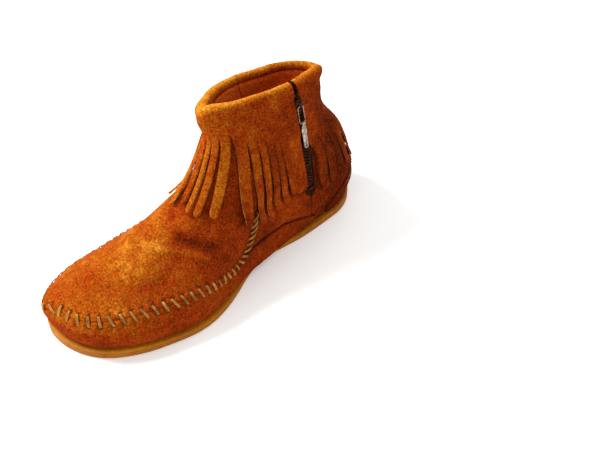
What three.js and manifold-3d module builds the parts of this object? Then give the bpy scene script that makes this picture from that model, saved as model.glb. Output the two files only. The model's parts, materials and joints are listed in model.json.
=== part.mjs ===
import * as THREE from 'three';
import { mergeVertices } from 'three/addons/utils/BufferGeometryUtils.js';
import Module from 'manifold-3d';

const wasm = await Module();
wasm.setup();

// A fringed moccasin ankle boot for the right foot, in millimetres.
// The toe points along -Y, the inner (medial) side is +X, and the sole stands on Z = 0.

// ---------------------------------------------------------------- driving dimensions
const SHIFT_X = -4.23;           // puts the box's centre on X = 0
const SHIFT_Y = 124.65;          // distance from the heel line to the box's centre
const SOLE_HEIGHT = 9.0;
const SOLE_OVERHANG = 2.5;       // outsole edge beyond the feather line
const LEATHER = 1.5;
const FRINGE_LEATHER = 1.6;
const SLIP = 0.35;               // gap between pieces that touch
const COVERED_INSET = 2.4;       // how far the leather lies under the fringe's outer face
const ROLL_RADIUS = 3.4;         // padded roll at the rim
const ROLL_INNER_DROP = 12;      // how far the roll's leather goes down inside
const ROLL_INNER_EASE = 2.0;     // how far that leather leans inwards on its way down
const ZIP_HEEL_DISTANCE = 55;    // zip line, measured from the heel line
const ZIP_OPENING = 5.2;         // half the gap between the leather edges
const CUFF_OPENING = 4.6;        // half the gap between the cuff edges
const ZIP_TOP = 109;              // height of the slider's middle when the zip is closed
const ZIP_BOTTOM = 42;            // height of the lowest tooth
const TOOTH_PITCH = 2.5;
const THREAD = 0.55;              // radius of the whip-stitch thread
const FRINGE_LENGTH = 50;
const FRINGE_STRIP = 7.0;        // width of one strip

// Seven level rings stand one above the other, from the feather line to the rim.
// back and front are [distance from the heel line, height] of the ring's two ends.
// caps are the lengths over which the ring's heel and toe ends are rounded.
// medial and lateral are half widths at the heel, waist, ball and toe of the ring.
// swing moves the ring's toe end sideways, towards the medial side.
const LEVELS = [
  { back: [3, 9], front: [250, 9], caps: [32, 46], medial: [30.5, 37.5, 55, 48], lateral: [29, 37, 38, 35], swing: -8 },
  { back: [-2, 20], front: [253, 20], caps: [32, 44], medial: [31, 36, 55, 49], lateral: [30, 37, 36, 32], swing: -8 },
  { back: [-3, 30], front: [247, 30], caps: [34, 44], medial: [30, 35, 50, 40], lateral: [28, 35, 29.5, 25.5], swing: -6 },
  { back: [0.5, 47], front: [201, 46], caps: [36, 52], medial: [30, 31, 40, 33], lateral: [27, 32, 21.5, 21], swing: 0 },
  { back: [8, 67], front: [155, 68], caps: [36, 54], medial: [27, 28, 31, 29], lateral: [27, 30, 21.5, 20.5], swing: 4 },
  { back: [22, 89], front: [122, 101], caps: [42, 44], medial: [20.5, 22, 23, 24], lateral: [25, 27, 24, 24], swing: 0 },
  { back: [20.5, 110.5], front: [122, 122.5], caps: [38, 40], medial: [13, 13.5, 14, 15], lateral: [21.5, 23.5, 22.5, 21], swing: -4 },
];
const RIM_RISE = 5;              // how much higher the rim stands on the inner side than on the outer
const STATIONS = [0, 0.14, 0.45, 0.68, 0.88, 1];
const LEVEL_STEPS = LEVELS.map((level, index) => index);

// How far the feather line dips below the sole's full height, by angle folded onto 0 (heel) to 180 (toe).
const FEATHER_DIP = [[0, 2], [30, 2.4], [55, 3.4], [82, 4.4], [105, 4], [125, 2.6], [145, 1], [162, 0]];
const LATERAL_DIP_SHARE = 0.7;

const COLOUR = {
  suede: 0xb5591c, gum: 0xb98a45, board: 0x9c7a54, sock: 0x8a5a34, foam: 0xd9c9a8,
  lining: 0x7a4622, thread: 0xc6a06a, tape: 0x6b3a1c, brass: 0x8f6f3e, steel: 0xb9b6b0, bead: 0x2d3a52,
  feather: 0x9a4a1d,
};

// ---------------------------------------------------------------- curves
const rad = (degrees) => (degrees * Math.PI) / 180;
const mix = (a, b, t) => a + (b - a) * t;
const clamp01 = (x) => Math.min(1, Math.max(0, x));

function smoothstep(low, high, x) {
  const t = clamp01((x - low) / (high - low));
  return t * t * (3 - 2 * t);
}

// Smooth curve through (xs, ys), with the slope at each knot taken from its neighbours.
function spline(xs, ys, x) {
  const last = xs.length - 1;
  const slope = (i) => {
    const a = Math.max(0, i - 1);
    const b = Math.min(last, i + 1);
    return (ys[b] - ys[a]) / (xs[b] - xs[a]);
  };
  let k = 0;
  while (k < last - 1 && x > xs[k + 1]) k += 1;
  const span = xs[k + 1] - xs[k];
  const t = (x - xs[k]) / span;
  const t2 = t * t;
  const t3 = t2 * t;
  return (2 * t3 - 3 * t2 + 1) * ys[k] + (t3 - 2 * t2 + t) * span * slope(k)
    + (3 * t2 - 2 * t3) * ys[k + 1] + (t3 - t2) * span * slope(k + 1);
}

// Straight-line curve through a list of [x, y] knots.
function ramp(knots, x) {
  if (x <= knots[0][0]) return knots[0][1];
  for (let i = 1; i < knots.length; i += 1) {
    if (x <= knots[i][0]) {
      const [x0, y0] = knots[i - 1];
      return mix(y0, knots[i][1], (x - x0) / (knots[i][0] - x0));
    }
  }
  return knots[knots.length - 1][1];
}

// Repeatable noise in [0, 1) for the hand-cut fringe.
function scatter(seed) {
  const value = Math.sin(seed * 12.9898 + 4.1414) * 43758.5453;
  return value - Math.floor(value);
}

// ---------------------------------------------------------------- the boot's outer surface
function levelValue(v, pick) {
  return spline(LEVEL_STEPS, LEVELS.map(pick), v);
}

function ringAt(v) {
  const widths = (side) => {
    const [heel, waist, ball, toe] = [0, 1, 2, 3].map((k) => levelValue(v, (level) => level[side][k]));
    return [heel, heel, waist, ball, toe, toe];
  };
  return {
    back: [0, 1].map((k) => levelValue(v, (level) => level.back[k])),
    front: [0, 1].map((k) => levelValue(v, (level) => level.front[k])),
    caps: [0, 1].map((k) => levelValue(v, (level) => level.caps[k])),
    medial: widths('medial'),
    lateral: widths('lateral'),
    swing: levelValue(v, (level) => level.swing),
  };
}

function roundEnd(distance, length) {
  const q = clamp01(1 - distance / length);
  return Math.sqrt(1 - q * q);
}

const fold = (phi) => Math.abs(((((phi + 180) % 360) + 360) % 360) - 180);

function featherDip(phi) {
  const side = mix(LATERAL_DIP_SHARE, 1, (1 + Math.sin(rad(phi))) / 2);
  return ramp(FEATHER_DIP, fold(phi)) * side;
}

// Point at height level v (0 feather line to 6 rim) and angle phi (0 heel, 90 medial, 180 toe, 270 lateral).
function surface(v, phi) {
  const ring = ringAt(v);
  const angle = rad(phi);
  const t = (1 - Math.cos(angle)) / 2;
  const along = mix(ring.back[0], ring.front[0], t);
  const side = Math.sin(angle) >= 0 ? 1 : -1;
  const width = spline(STATIONS, side > 0 ? ring.medial : ring.lateral, t);
  const half = width * roundEnd(along - ring.back[0], ring.caps[0]) * roundEnd(ring.front[0] - along, ring.caps[1]);
  const swing = ring.swing * smoothstep(0.35, 1, t);
  const rise = RIM_RISE * smoothstep(4, 6, v) * smoothstep(-0.4, 0.6, Math.sin(angle));
  const height = mix(ring.back[1], ring.front[1], t) - featherDip(phi) * smoothstep(1, 0, v) + rise;
  return new THREE.Vector3(side * half + swing + SHIFT_X, SHIFT_Y - along, height);
}

function surfaceFrame(v, phi) {
  const dv = 0.02;
  const dphi = 0.8;
  const vLow = Math.max(0, v - dv);
  const vHigh = Math.min(6, v + dv);
  const point = surface(v, phi);
  const up = surface(vHigh, phi).sub(surface(vLow, phi)).normalize();
  const along = surface(v, phi + dphi).sub(surface(v, phi - dphi)).normalize();
  const out = new THREE.Vector3().crossVectors(up, along).normalize();
  return { point, up, along, out };
}

function offsetPoint(v, phi, distance) {
  const { point, out } = surfaceFrame(v, phi);
  return point.addScaledVector(out, distance);
}

// Angle on ring v of the point that lies at a given distance from the heel line, on the medial side.
function angleAtDistance(v, distance) {
  const ring = ringAt(v);
  const t = (distance - ring.back[0]) / (ring.front[0] - ring.back[0]);
  return (Math.acos(1 - 2 * clamp01(t)) * 180) / Math.PI;
}

// Under the fringe the leather lies deeper. Further forward the fringe ends higher up.
function coveredInset(v, phi) {
  const frontness = smoothstep(0.1, 0.95, (1 - Math.cos(rad(phi))) / 2);
  const start = mix(2.2, 3.6, frontness);
  return COVERED_INSET * smoothstep(start, start + 0.7, v);
}

// ---------------------------------------------------------------- solids
// A closed sheet: a grid of cells with an outer and an inner face and walls round every open edge.
function sheet(rows, cols, outer, inner, present = () => true) {
  const positions = [];
  const index = [];
  const vertex = (side, i, j) => 2 * (i * (cols + 1) + j) + side;
  for (let i = 0; i <= rows; i += 1) {
    for (let j = 0; j <= cols; j += 1) {
      positions.push(...outer(i, j).toArray(), ...inner(i, j).toArray());
    }
  }
  const filled = (i, j) => i >= 0 && j >= 0 && i < rows && j < cols && present(i, j);
  const wall = (from, to) => {
    const [p, q, p2, q2] = [vertex(0, ...from), vertex(0, ...to), vertex(1, ...from), vertex(1, ...to)];
    index.push(q, p, p2, q, p2, q2);
  };
  for (let i = 0; i < rows; i += 1) {
    for (let j = 0; j < cols; j += 1) {
      if (!filled(i, j)) continue;
      const corners = [[i, j], [i + 1, j], [i + 1, j + 1], [i, j + 1]];
      const [a, b, c, d] = corners.map((corner) => vertex(0, ...corner));
      const [a2, b2, c2, d2] = corners.map((corner) => vertex(1, ...corner));
      index.push(a, b, c, a, c, d, a2, c2, b2, a2, d2, c2);
      const neighbours = [[i, j - 1], [i + 1, j], [i, j + 1], [i - 1, j]];
      neighbours.forEach((cell, k) => {
        if (!filled(...cell)) wall(corners[k], corners[(k + 1) % 4]);
      });
    }
  }
  const geometry = new THREE.BufferGeometry();
  geometry.setAttribute('position', new THREE.Float32BufferAttribute(positions, 3));
  geometry.setIndex(index);
  return geometry;
}

// A leather panel on the surface, between two depths below it.
function panel({ rows, cols, low, high, start, end, depth, thickness }) {
  // The edges depend on each other, so each grid point settles in a few passes.
  const place = (i, j, extra) => {
    let v = 3;
    let phi = 0;
    for (let pass = 0; pass < 5; pass += 1) {
      phi = mix(start(v), end(v), j / cols);
      v = mix(low(phi), high(phi), i / rows);
    }
    return offsetPoint(v, phi, -(depth(v, phi) + extra));
  };
  return sheet(rows, cols, (i, j) => place(i, j, 0), (i, j) => place(i, j, thickness));
}

// A flat-ended stack of closed outlines, lowest first, each running clockwise seen from above.
function stack(outlines) {
  const count = outlines[0].length;
  const positions = outlines.flatMap((outline) => outline.flatMap((point) => point.toArray()));
  const index = [];
  for (let ring = 0; ring < outlines.length - 1; ring += 1) {
    for (let k = 0; k < count; k += 1) {
      const next = (k + 1) % count;
      const [a, b] = [ring * count + k, ring * count + next];
      const [c, d] = [a + count, b + count];
      index.push(a, c, b, b, c, d);
    }
  }
  const flat = outlines[0].map((point) => new THREE.Vector2(point.x, point.y));
  const top = (outlines.length - 1) * count;
  THREE.ShapeUtils.triangulateShape(flat, []).forEach(([a, b, c]) => {
    const turn = flat[b].clone().sub(flat[a]).cross(flat[c].clone().sub(flat[a]));
    const [p, q] = turn > 0 ? [b, c] : [c, b];
    index.push(a, q, p, top + a, top + p, top + q);
  });
  const geometry = new THREE.BufferGeometry();
  geometry.setAttribute('position', new THREE.Float32BufferAttribute(positions, 3));
  geometry.setIndex(index);
  return geometry;
}

// A round thread or wire through points.
function wire(points, radius, sides, steps) {
  const curve = new THREE.CatmullRomCurve3(points, false, 'centripetal');
  const section = new THREE.Shape();
  for (let k = 0; k < sides; k += 1) {
    const angle = (2 * Math.PI * k) / sides;
    const [x, y] = [radius * Math.cos(angle), radius * Math.sin(angle)];
    if (k === 0) section.moveTo(x, y);
    else section.lineTo(x, y);
  }
  section.closePath();
  return new THREE.ExtrudeGeometry(section, { steps, extrudePath: curve, bevelEnabled: false });
}

// ---------------------------------------------------------------- joins and cuts
function solidOf(geometry) {
  const bare = geometry.clone();
  bare.deleteAttribute('normal');
  bare.deleteAttribute('uv');
  const merged = mergeVertices(bare, 1e-4);
  return new wasm.Manifold(new wasm.Mesh({
    numProp: 3,
    vertProperties: new Float32Array(merged.attributes.position.array),
    triVerts: new Uint32Array(merged.index.array),
  }));
}

function geometryOf(solid) {
  const mesh = solid.getMesh();
  const geometry = new THREE.BufferGeometry();
  geometry.setAttribute('position', new THREE.BufferAttribute(new Float32Array(mesh.vertProperties), 3));
  geometry.setIndex(new THREE.BufferAttribute(new Uint32Array(mesh.triVerts), 1));
  return geometry;
}

const join = (...parts) => geometryOf(parts.map(solidOf).reduce((sum, part) => sum.add(part)));

function block(lowCorner, highCorner) {
  const size = highCorner.map((value, k) => value - lowCorner[k]);
  const box = new THREE.BoxGeometry(...size);
  return box.translate(...lowCorner.map((value, k) => value + size[k] / 2));
}

const group = new THREE.Group();

function add(name, geometry, color, roughness = 0.9, metalness = 0) {
  const mesh = new THREE.Mesh(geometry, new THREE.MeshStandardMaterial({ color, roughness, metalness }));
  mesh.name = name;
  group.add(mesh);
  return mesh;
}

// ---------------------------------------------------------------- sole and inside
// Outline of the feather line, moved inward and set at a height. dipShare says how much of the dip it follows.
function outline(inset, height, count, dipShare = 0) {
  return Array.from({ length: count }, (unused, k) => {
    const phi = (360 * k) / count;
    const { point, out } = surfaceFrame(0, phi);
    const outward = new THREE.Vector3(out.x, out.y, 0).normalize();
    point.addScaledVector(outward, -inset);
    point.z = height - dipShare * featherDip(phi);
    return point;
  });
}

function buildSole() {
  const edge = 1.2;
  const stepInset = LEATHER + 0.5;
  add('outsole', stack([
    outline(edge - SOLE_OVERHANG, 0, 72),
    outline(-SOLE_OVERHANG, edge, 72),
    outline(-SOLE_OVERHANG, SOLE_HEIGHT - edge, 72, 1),
    outline(0.8 - SOLE_OVERHANG, SOLE_HEIGHT, 72, 1),
    outline(stepInset, SOLE_HEIGHT, 72, 1),
    outline(stepInset + 0.4, SOLE_HEIGHT, 72),
  ]), COLOUR.gum, 0.6);
  const boardBase = SOLE_HEIGHT + SLIP;
  const boardTop = boardBase + 1.5;
  add('insole_board', stack([outline(2.4, boardBase, 56), outline(2.4, boardTop, 56)]), COLOUR.board);
  const bedBase = boardTop + SLIP;
  const bedTop = bedBase + 3;
  add('footbed', stack([
    outline(5.2, bedBase, 56),
    outline(5.2, bedTop - 0.8, 56),
    outline(6.2, bedTop, 56),
  ]), COLOUR.sock);
  const padBase = bedTop + SLIP;
  const padLength = 62;
  const pad = (inset, height) => Array.from({ length: 32 }, (unused, k) => {
    const angle = (2 * Math.PI * k) / 32;
    const x = (20 - inset) * Math.sin(angle) * (1 - 0.08 * Math.cos(angle));
    return new THREE.Vector3(SHIFT_X + x, SHIFT_Y - 43 + (padLength / 2 - inset) * Math.cos(angle), height);
  });
  add('heel_pad', stack([pad(0, padBase), pad(0.4, padBase + 1.2), pad(2, padBase + 2)]), COLOUR.foam);
}

// ---------------------------------------------------------------- upper leather
// Heights of the panel edges, as functions of the angle folded onto 0 (heel) to 180 (toe).
const BOTTOM = 0.05;
const SEAM_HALF_GAP = 0.06;
// Top of the wrap, by folded angle. On the inner side it dips at the waist before it drops to the heel.
const WRAP_TOP_MEDIAL = [
  [52, 0.35], [62, 0.8], [70, 1.3], [80, 1.49], [88, 1.49], [93, 1.22], [98, 1.36], [103, 1.64], [108, 1.84], [114, 1.94],
];
const WRAP_TOP_LATERAL = [[52, 0.35], [64, 0.9], [78, 1.2], [92, 1.4], [135, 1.4], [150, 1.7], [165, 1.94]];
const wrapTop = (phi) => ramp(Math.sin(rad(phi)) >= 0 ? WRAP_TOP_MEDIAL : WRAP_TOP_LATERAL, fold(phi));
const seamLevel = (phi) => wrapTop(phi) + SEAM_HALF_GAP;
const counterTop = (phi) => ramp([[30, 2.25], [47, 0.3]], fold(phi));
const quarterLow = (phi) => Math.max(
  fold(phi) < 51 ? BOTTOM : wrapTop(phi) + 2 * SEAM_HALF_GAP,
  counterTop(fold(phi) - 2) + 0.12,
);
const QUARTER_TOP = 5.72;
const VAMP_MEDIAL = 97;
const VAMP_LATERAL = 262;
const REAR_LATERAL = -62;
const zipEdge = (v, side) => {
  const opening = mix(0.45, ZIP_OPENING, smoothstep(2.2, 2.55, v));
  return angleAtDistance(v, ZIP_HEEL_DISTANCE + side * opening);
};

function buildUpper() {
  const skin = (v, phi) => coveredInset(v, phi);
  add('toe_wrap', panel({
    rows: 6, cols: 46, low: () => BOTTOM, high: wrapTop, start: () => 53.5, end: () => 306.5,
    depth: () => 0, thickness: LEATHER,
  }), COLOUR.suede);
  add('vamp_plug', panel({
    rows: 16, cols: 22, low: (phi) => seamLevel(phi) + SEAM_HALF_GAP, high: () => QUARTER_TOP,
    start: () => VAMP_MEDIAL, end: () => VAMP_LATERAL, depth: skin, thickness: LEATHER,
  }), COLOUR.suede);
  add('quarter_medial', panel({
    rows: 16, cols: 6, low: quarterLow, high: () => QUARTER_TOP,
    start: (v) => zipEdge(v, 1), end: () => VAMP_MEDIAL - 0.9, depth: skin, thickness: LEATHER,
  }), COLOUR.suede);
  add('quarter_rear', panel({
    rows: 10, cols: 34, low: quarterLow, high: () => QUARTER_TOP,
    start: () => REAR_LATERAL, end: (v) => zipEdge(v, -1), depth: skin, thickness: LEATHER,
  }), COLOUR.suede);
  add('quarter_lateral', panel({
    rows: 14, cols: 6, low: quarterLow, high: () => QUARTER_TOP,
    start: () => VAMP_LATERAL + 0.9, end: () => 360 + REAR_LATERAL - 0.9, depth: skin, thickness: LEATHER,
  }), COLOUR.suede);
  add('heel_counter_cover', panel({
    rows: 5, cols: 26, low: () => BOTTOM, high: counterTop, start: () => -46, end: () => 46,
    depth: () => 0, thickness: LEATHER,
  }), COLOUR.suede);
  const stiffenerDepth = LEATHER + SLIP;
  add('heel_stiffener', panel({
    rows: 4, cols: 14, low: () => 0.45, high: () => 2.1, start: () => -44, end: () => 44,
    depth: () => stiffenerDepth, thickness: 1.1,
  }), COLOUR.board);
  const liningDepth = stiffenerDepth + 1.1 + SLIP;
  add('heel_lining', panel({
    rows: 7, cols: 14, low: () => 0.45, high: () => 3.6, start: () => -40, end: () => 40,
    depth: (v) => mix(liningDepth, COVERED_INSET + LEATHER + SLIP, smoothstep(2.1, 2.8, v)), thickness: 0.8,
  }), COLOUR.lining);
}

function buildFacings() {
  const depth = () => COVERED_INSET + LEATHER + SLIP + 0.75;
  const common = { rows: 3, low: () => 4.75, high: () => 5.4, depth, thickness: 0.8 };
  const clear = ZIP_OPENING + 4.4;
  add('collar_facing_front', panel({
    ...common, cols: 18, start: (v) => angleAtDistance(v, ZIP_HEEL_DISTANCE + clear), end: () => 261,
  }), COLOUR.lining);
  add('collar_facing_rear', panel({
    ...common, cols: 14, start: () => -97.6, end: (v) => angleAtDistance(v, ZIP_HEEL_DISTANCE - clear),
  }), COLOUR.lining);
}

// ---------------------------------------------------------------- fringed cuffs
// The strips start higher in front than at the heel.
const fringeRoot = (phi) => mix(4.75, 5.15, smoothstep(60, 150, fold(phi)));
const CUFF_SEAM = 262;
const BAND_ROWS = 3;
const ROLL_ROWS = 5;
const STRIP_ROWS = 5;

// Height level reached after walking down the surface from the fringe's root.
function walkDown(root, angle, length) {
  const step = 0.04;
  let v = root;
  let left = length;
  while (left > 0 && v > 0.3) {
    left -= surface(v, angle(v)).distanceTo(surface(v - step, angle(v - step)));
    v -= step;
  }
  return v;
}

// One strip's point: across is -1 or 1, down is 0 at the root and 1 at the tip.
function stripPoint(strip, across, down, extra) {
  const v = mix(strip.root, strip.tip, down);
  const phi = strip.angle(v) + strip.lean * down * down;
  const { point, out, along } = surfaceFrame(v, phi);
  const clearance = FRINGE_LEATHER + 0.5 - coveredInset(v, phi);
  const lift = Math.max(0, clearance) + strip.flare * down * down;
  const taper = down > 0.9 ? 0.72 : 1;
  return point
    .addScaledVector(along, across * strip.halfWidth * taper)
    .addScaledVector(out, lift - extra);
}

function cuff(name, startAngle, endAngle, seed) {
  const middle = 5;
  const [from, to] = [startAngle(middle), endAngle(middle)];
  const path = Array.from({ length: 61 }, (unused, k) => surface(middle, mix(from, to, k / 60)));
  const run = path.slice(1).reduce((sum, point, k) => sum + point.distanceTo(path[k]), 0);
  const count = Math.round(run / (FRINGE_STRIP + 0.6));
  const share = FRINGE_STRIP / (FRINGE_STRIP + 0.6);
  // Columns alternate strip, slit, strip, ...; across runs 0 to 1 over the whole cuff.
  const acrossOf = (j) => (j % 2 === 0 ? j / 2 : (j - 1) / 2 + share) / (count - 1 + share);
  const cols = 2 * count - 1;
  const angleOf = (v, j) => mix(startAngle(v), endAngle(v), acrossOf(j));
  const strips = Array.from({ length: count }, (unused, k) => {
    const across = (k + share / 2) / (count - 1 + share);
    const angle = (v) => mix(startAngle(v), endAngle(v), across);
    const root = fringeRoot(angle(middle));
    const half = surface(root, angleOf(root, 2 * k)).distanceTo(surface(root, angleOf(root, 2 * k + 1))) / 2;
    const edge = k === 0 || k === count - 1;
    return {
      root,
      tip: walkDown(root, angle, FRINGE_LENGTH * (0.9 + 0.16 * scatter(seed + k))),
      angle,
      halfWidth: Math.min(half, FRINGE_STRIP / 2),
      lean: edge ? 0 : 1.6 * (scatter(seed + 31 + k) - 0.5),
      flare: 0.4 + 1.6 * scatter(seed + 67 + k),
    };
  });
  // Rows run from the strip tips up the outside, over the roll and down inside.
  const rows = STRIP_ROWS + BAND_ROWS + ROLL_ROWS + 1;
  const place = (i, j, extra) => {
    if (i < STRIP_ROWS) {
      const strip = strips[Math.floor(j / 2)];
      return stripPoint(strip, j % 2 === 0 ? -1 : 1, 1 - i / STRIP_ROWS, extra);
    }
    const bandStep = i - STRIP_ROWS;
    const rootLevel = fringeRoot(mix(from, to, acrossOf(j)));
    const v = mix(rootLevel, 6, Math.min(1, bandStep / BAND_ROWS));
    const phi = angleOf(v, j);
    const { point, up, out } = surfaceFrame(v, phi);
    if (bandStep <= BAND_ROWS) return point.addScaledVector(out, -extra);
    if (i === rows) return offsetPoint(walkDown(6, () => phi, ROLL_INNER_DROP), phi, extra - 2 * ROLL_RADIUS - ROLL_INNER_EASE);
    const angle = (Math.PI * (bandStep - BAND_ROWS)) / ROLL_ROWS;
    const radius = ROLL_RADIUS - extra;
    return point
      .addScaledVector(out, radius * Math.cos(angle) - ROLL_RADIUS)
      .addScaledVector(up, radius * Math.sin(angle));
  };
  const present = (i, j) => i >= STRIP_ROWS || j % 2 === 0;
  add(name, sheet(rows, cols, (i, j) => place(i, j, 0), (i, j) => place(i, j, FRINGE_LEATHER), present), COLOUR.suede);
}

function buildCuffs() {
  const zipSide = (side) => (v) => angleAtDistance(v, ZIP_HEEL_DISTANCE + side * CUFF_OPENING);
  cuff('cuff_front', zipSide(1), () => CUFF_SEAM - 0.5, 3);
  cuff('cuff_rear', () => CUFF_SEAM + 0.5 - 360, zipSide(-1), 47);
}

// ---------------------------------------------------------------- thread
// The whip stitch is one thread that runs to and fro over the seam between the wrap and the plug.
function buildStitches() {
  const reach = 4.2;
  const stitches = 36;
  const [first, last] = [88, 272];
  const lift = THREAD + SLIP;
  const whip = [];
  for (let k = 0; k < stitches; k += 1) {
    const phi = mix(first, last, k / (stitches - 1));
    const { point, up, along, out } = surfaceFrame(seamLevel(phi), phi);
    const slant = 1.1;
    const ends = [[1, -slant], [0, 0], [-1, slant]];
    ends.forEach(([side, shift]) => {
      whip.push(point.clone().addScaledVector(up, side * reach).addScaledVector(along, shift)
        .addScaledVector(out, lift + (side === 0 ? 0.5 : 0)));
    });
  }
  add('whip_stitch', wire(whip, THREAD, 5, Math.round(whip.length * 1.5)), COLOUR.thread);
  const counterLine = Array.from({ length: 15 }, (unused, k) => {
    const phi = mix(-28, 28, k / 14);
    return offsetPoint(2.02, phi, 0.3 + SLIP);
  });
  add('counter_stitch', wire(counterLine, 0.3, 5, 24), COLOUR.thread);
  const seamLine = Array.from({ length: 6 }, (unused, k) => offsetPoint(mix(5.25, 5.95, k / 5), CUFF_SEAM, 0.35 + SLIP));
  add('cuff_seam_stitch', wire(seamLine, 0.35, 6, 10), COLOUR.thread);
}

// ---------------------------------------------------------------- zip
const TAPE_DEPTH = COVERED_INSET + LEATHER + SLIP;
const TAPE = 0.55;
const TOOTH_HEIGHT = 1.4;
const PLATE = 1.0;
const TEETH_LIFT = 2.35;           // foot of the teeth above the tape at the two ends of the zip line
const SLIDER_UNDER = 4.2;         // the slider's lower plate, below the foot of the teeth
const SLIDER_HALF_WIDTH = 3.5;
const SLIDER_HALF_LENGTH = 5;
const LINK_LENGTH = 13.4;
const LINK_WIRE = 0.5;
const LINK_OFFSET = 3.4;          // height of the link's wire above the foot of the teeth
const TAB_LENGTH = 20;

function buildTapes() {
  const common = { rows: 10, cols: 2, low: () => 2.78, high: () => 5.7, depth: () => TAPE_DEPTH, thickness: TAPE };
  const at = (distance) => (v) => angleAtDistance(v, ZIP_HEEL_DISTANCE + distance);
  add('zip_tape_front', panel({ ...common, start: at(0.9), end: at(8.6) }), COLOUR.tape);
  add('zip_tape_rear', panel({ ...common, start: at(-8.6), end: at(-0.9) }), COLOUR.tape);
}

// The zip's hard parts share one straight line. In its own frame X points outward,
// Y towards the heel and Z up the zip, with the slider's middle at the origin.
function zipLine() {
  const pick = (height) => {
    const v = [...Array(240).keys()].map((k) => 2 + k / 60)
      .find((level) => surface(level, angleAtDistance(level, ZIP_HEEL_DISTANCE)).z >= height);
    return offsetPoint(v, angleAtDistance(v, ZIP_HEEL_DISTANCE), TEETH_LIFT - TAPE_DEPTH);
  };
  const top = pick(ZIP_TOP);
  const bottom = pick(ZIP_BOTTOM);
  const length = top.distanceTo(bottom);
  return { top, tilt: Math.asin((bottom.x - top.x) / length), length };
}

function zipTeeth(side, length) {
  const above = SLIDER_HALF_LENGTH;
  const count = Math.round((length + above) / TOOTH_PITCH);
  const start = -length + (side > 0 ? TOOTH_PITCH / 2 : 0);
  const widths = [3.4, 2.6, 0.35].map((width) => side * width);
  const across = side > 0 ? widths : widths.reverse();
  const toothColumn = side > 0 ? 1 : 0;
  const corner = (x) => (i, j) => new THREE.Vector3(x, across[j], start + (i * TOOTH_PITCH) / 2);
  return sheet(2 * count - 1, 2, corner(TOOTH_HEIGHT), corner(0), (i, j) => j !== toothColumn || i % 2 === 0);
}

function sliderPlate(low, high) {
  const shape = new THREE.Shape();
  const [w, l] = [SLIDER_HALF_WIDTH, SLIDER_HALF_LENGTH];
  shape.moveTo(w * 0.62, -l);
  shape.lineTo(w, -l * 0.2);
  shape.lineTo(w, l * 0.35);
  shape.quadraticCurveTo(w * 0.8, l, 0, l);
  shape.quadraticCurveTo(-w * 0.8, l, -w, l * 0.35);
  shape.lineTo(-w, -l * 0.2);
  shape.lineTo(-w * 0.62, -l);
  shape.closePath();
  const plate = new THREE.ExtrudeGeometry(shape, { depth: high - low, bevelEnabled: false, curveSegments: 5 });
  return standOutward(plate).translate(low, 0, 0);
}

// Turns a flat shape drawn in X and Y so that it lies in the zip's Y and Z, thick along X.
function standOutward(geometry) {
  const basis = new THREE.Matrix4().makeBasis(
    new THREE.Vector3(0, 1, 0), new THREE.Vector3(0, 0, 1), new THREE.Vector3(1, 0, 0),
  );
  return geometry.applyMatrix4(basis);
}

function buildSlider() {
  const plateFoot = TOOTH_HEIGHT + 0.3;
  const plateTop = plateFoot + PLATE;
  const bridgeTop = LINK_OFFSET + LINK_WIRE + 1.2;
  const under = -SLIDER_UNDER;
  return join(
    sliderPlate(plateFoot, plateTop),
    sliderPlate(under - 0.7, under),
    block([under - 0.1, -0.15, -3], [plateFoot + 0.1, 0.15, 3.5]),
    block([plateTop - 0.1, -0.8, -3.2], [bridgeTop, 0.8, -2.1]),
    block([plateTop - 0.1, -0.8, 1.4], [bridgeTop, 0.8, 3.4]),
    block([bridgeTop - 0.9, -0.8, -2.6], [bridgeTop, 0.8, 2.4]),
  );
}

function pullLink() {
  const half = 2.4;
  const bar = -0.4;
  const low = bar - LINK_LENGTH;
  const turn = 1.5;
  const corners = [
    [half - turn, bar], [half, bar - turn], [half, low + turn], [half - turn, low],
    [turn - half, low], [-half, low + turn], [-half, bar - turn], [turn - half, bar],
  ];
  const points = corners.map(([y, z]) => new THREE.Vector3(LINK_OFFSET, y, z));
  const loop = new THREE.CatmullRomCurve3(points, true, 'centripetal');
  return new THREE.TubeGeometry(loop, 32, LINK_WIRE, 8, true);
}

function pullTab() {
  const pivot = -0.4 - LINK_LENGTH;
  const [eyeOut, eyeIn, eyeHalf] = [1.45, 0.75, 1.3];
  const eye = new THREE.Shape().absarc(0, 0, eyeOut, 0, 2 * Math.PI);
  eye.holes.push(new THREE.Path().absarc(0, 0, eyeIn, 0, 2 * Math.PI));
  const eyeSolid = new THREE.ExtrudeGeometry(eye, { depth: 2 * eyeHalf, bevelEnabled: false, curveSegments: 8 });
  eyeSolid.rotateX(Math.PI / 2).translate(LINK_OFFSET, eyeHalf, pivot);
  const blade = new THREE.Shape();
  blade.moveTo(-1.3, -1.1);
  blade.lineTo(-2.2, -5);
  blade.lineTo(-1.7, 1.6 - TAB_LENGTH);
  blade.absarc(0, 1.7 - TAB_LENGTH, 1.7, Math.PI, 2 * Math.PI);
  blade.lineTo(2.2, -5);
  blade.lineTo(1.3, -1.1);
  blade.closePath();
  blade.holes.push(new THREE.Path().absarc(0, 2.2 - TAB_LENGTH, 0.8, 0, 2 * Math.PI));
  const bladeSolid = new THREE.ExtrudeGeometry(blade, { depth: 1.1, bevelEnabled: false, curveSegments: 6 });
  standOutward(bladeSolid).translate(LINK_OFFSET - 0.55, 0, pivot);
  return join(eyeSolid, bladeSolid);
}

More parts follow.
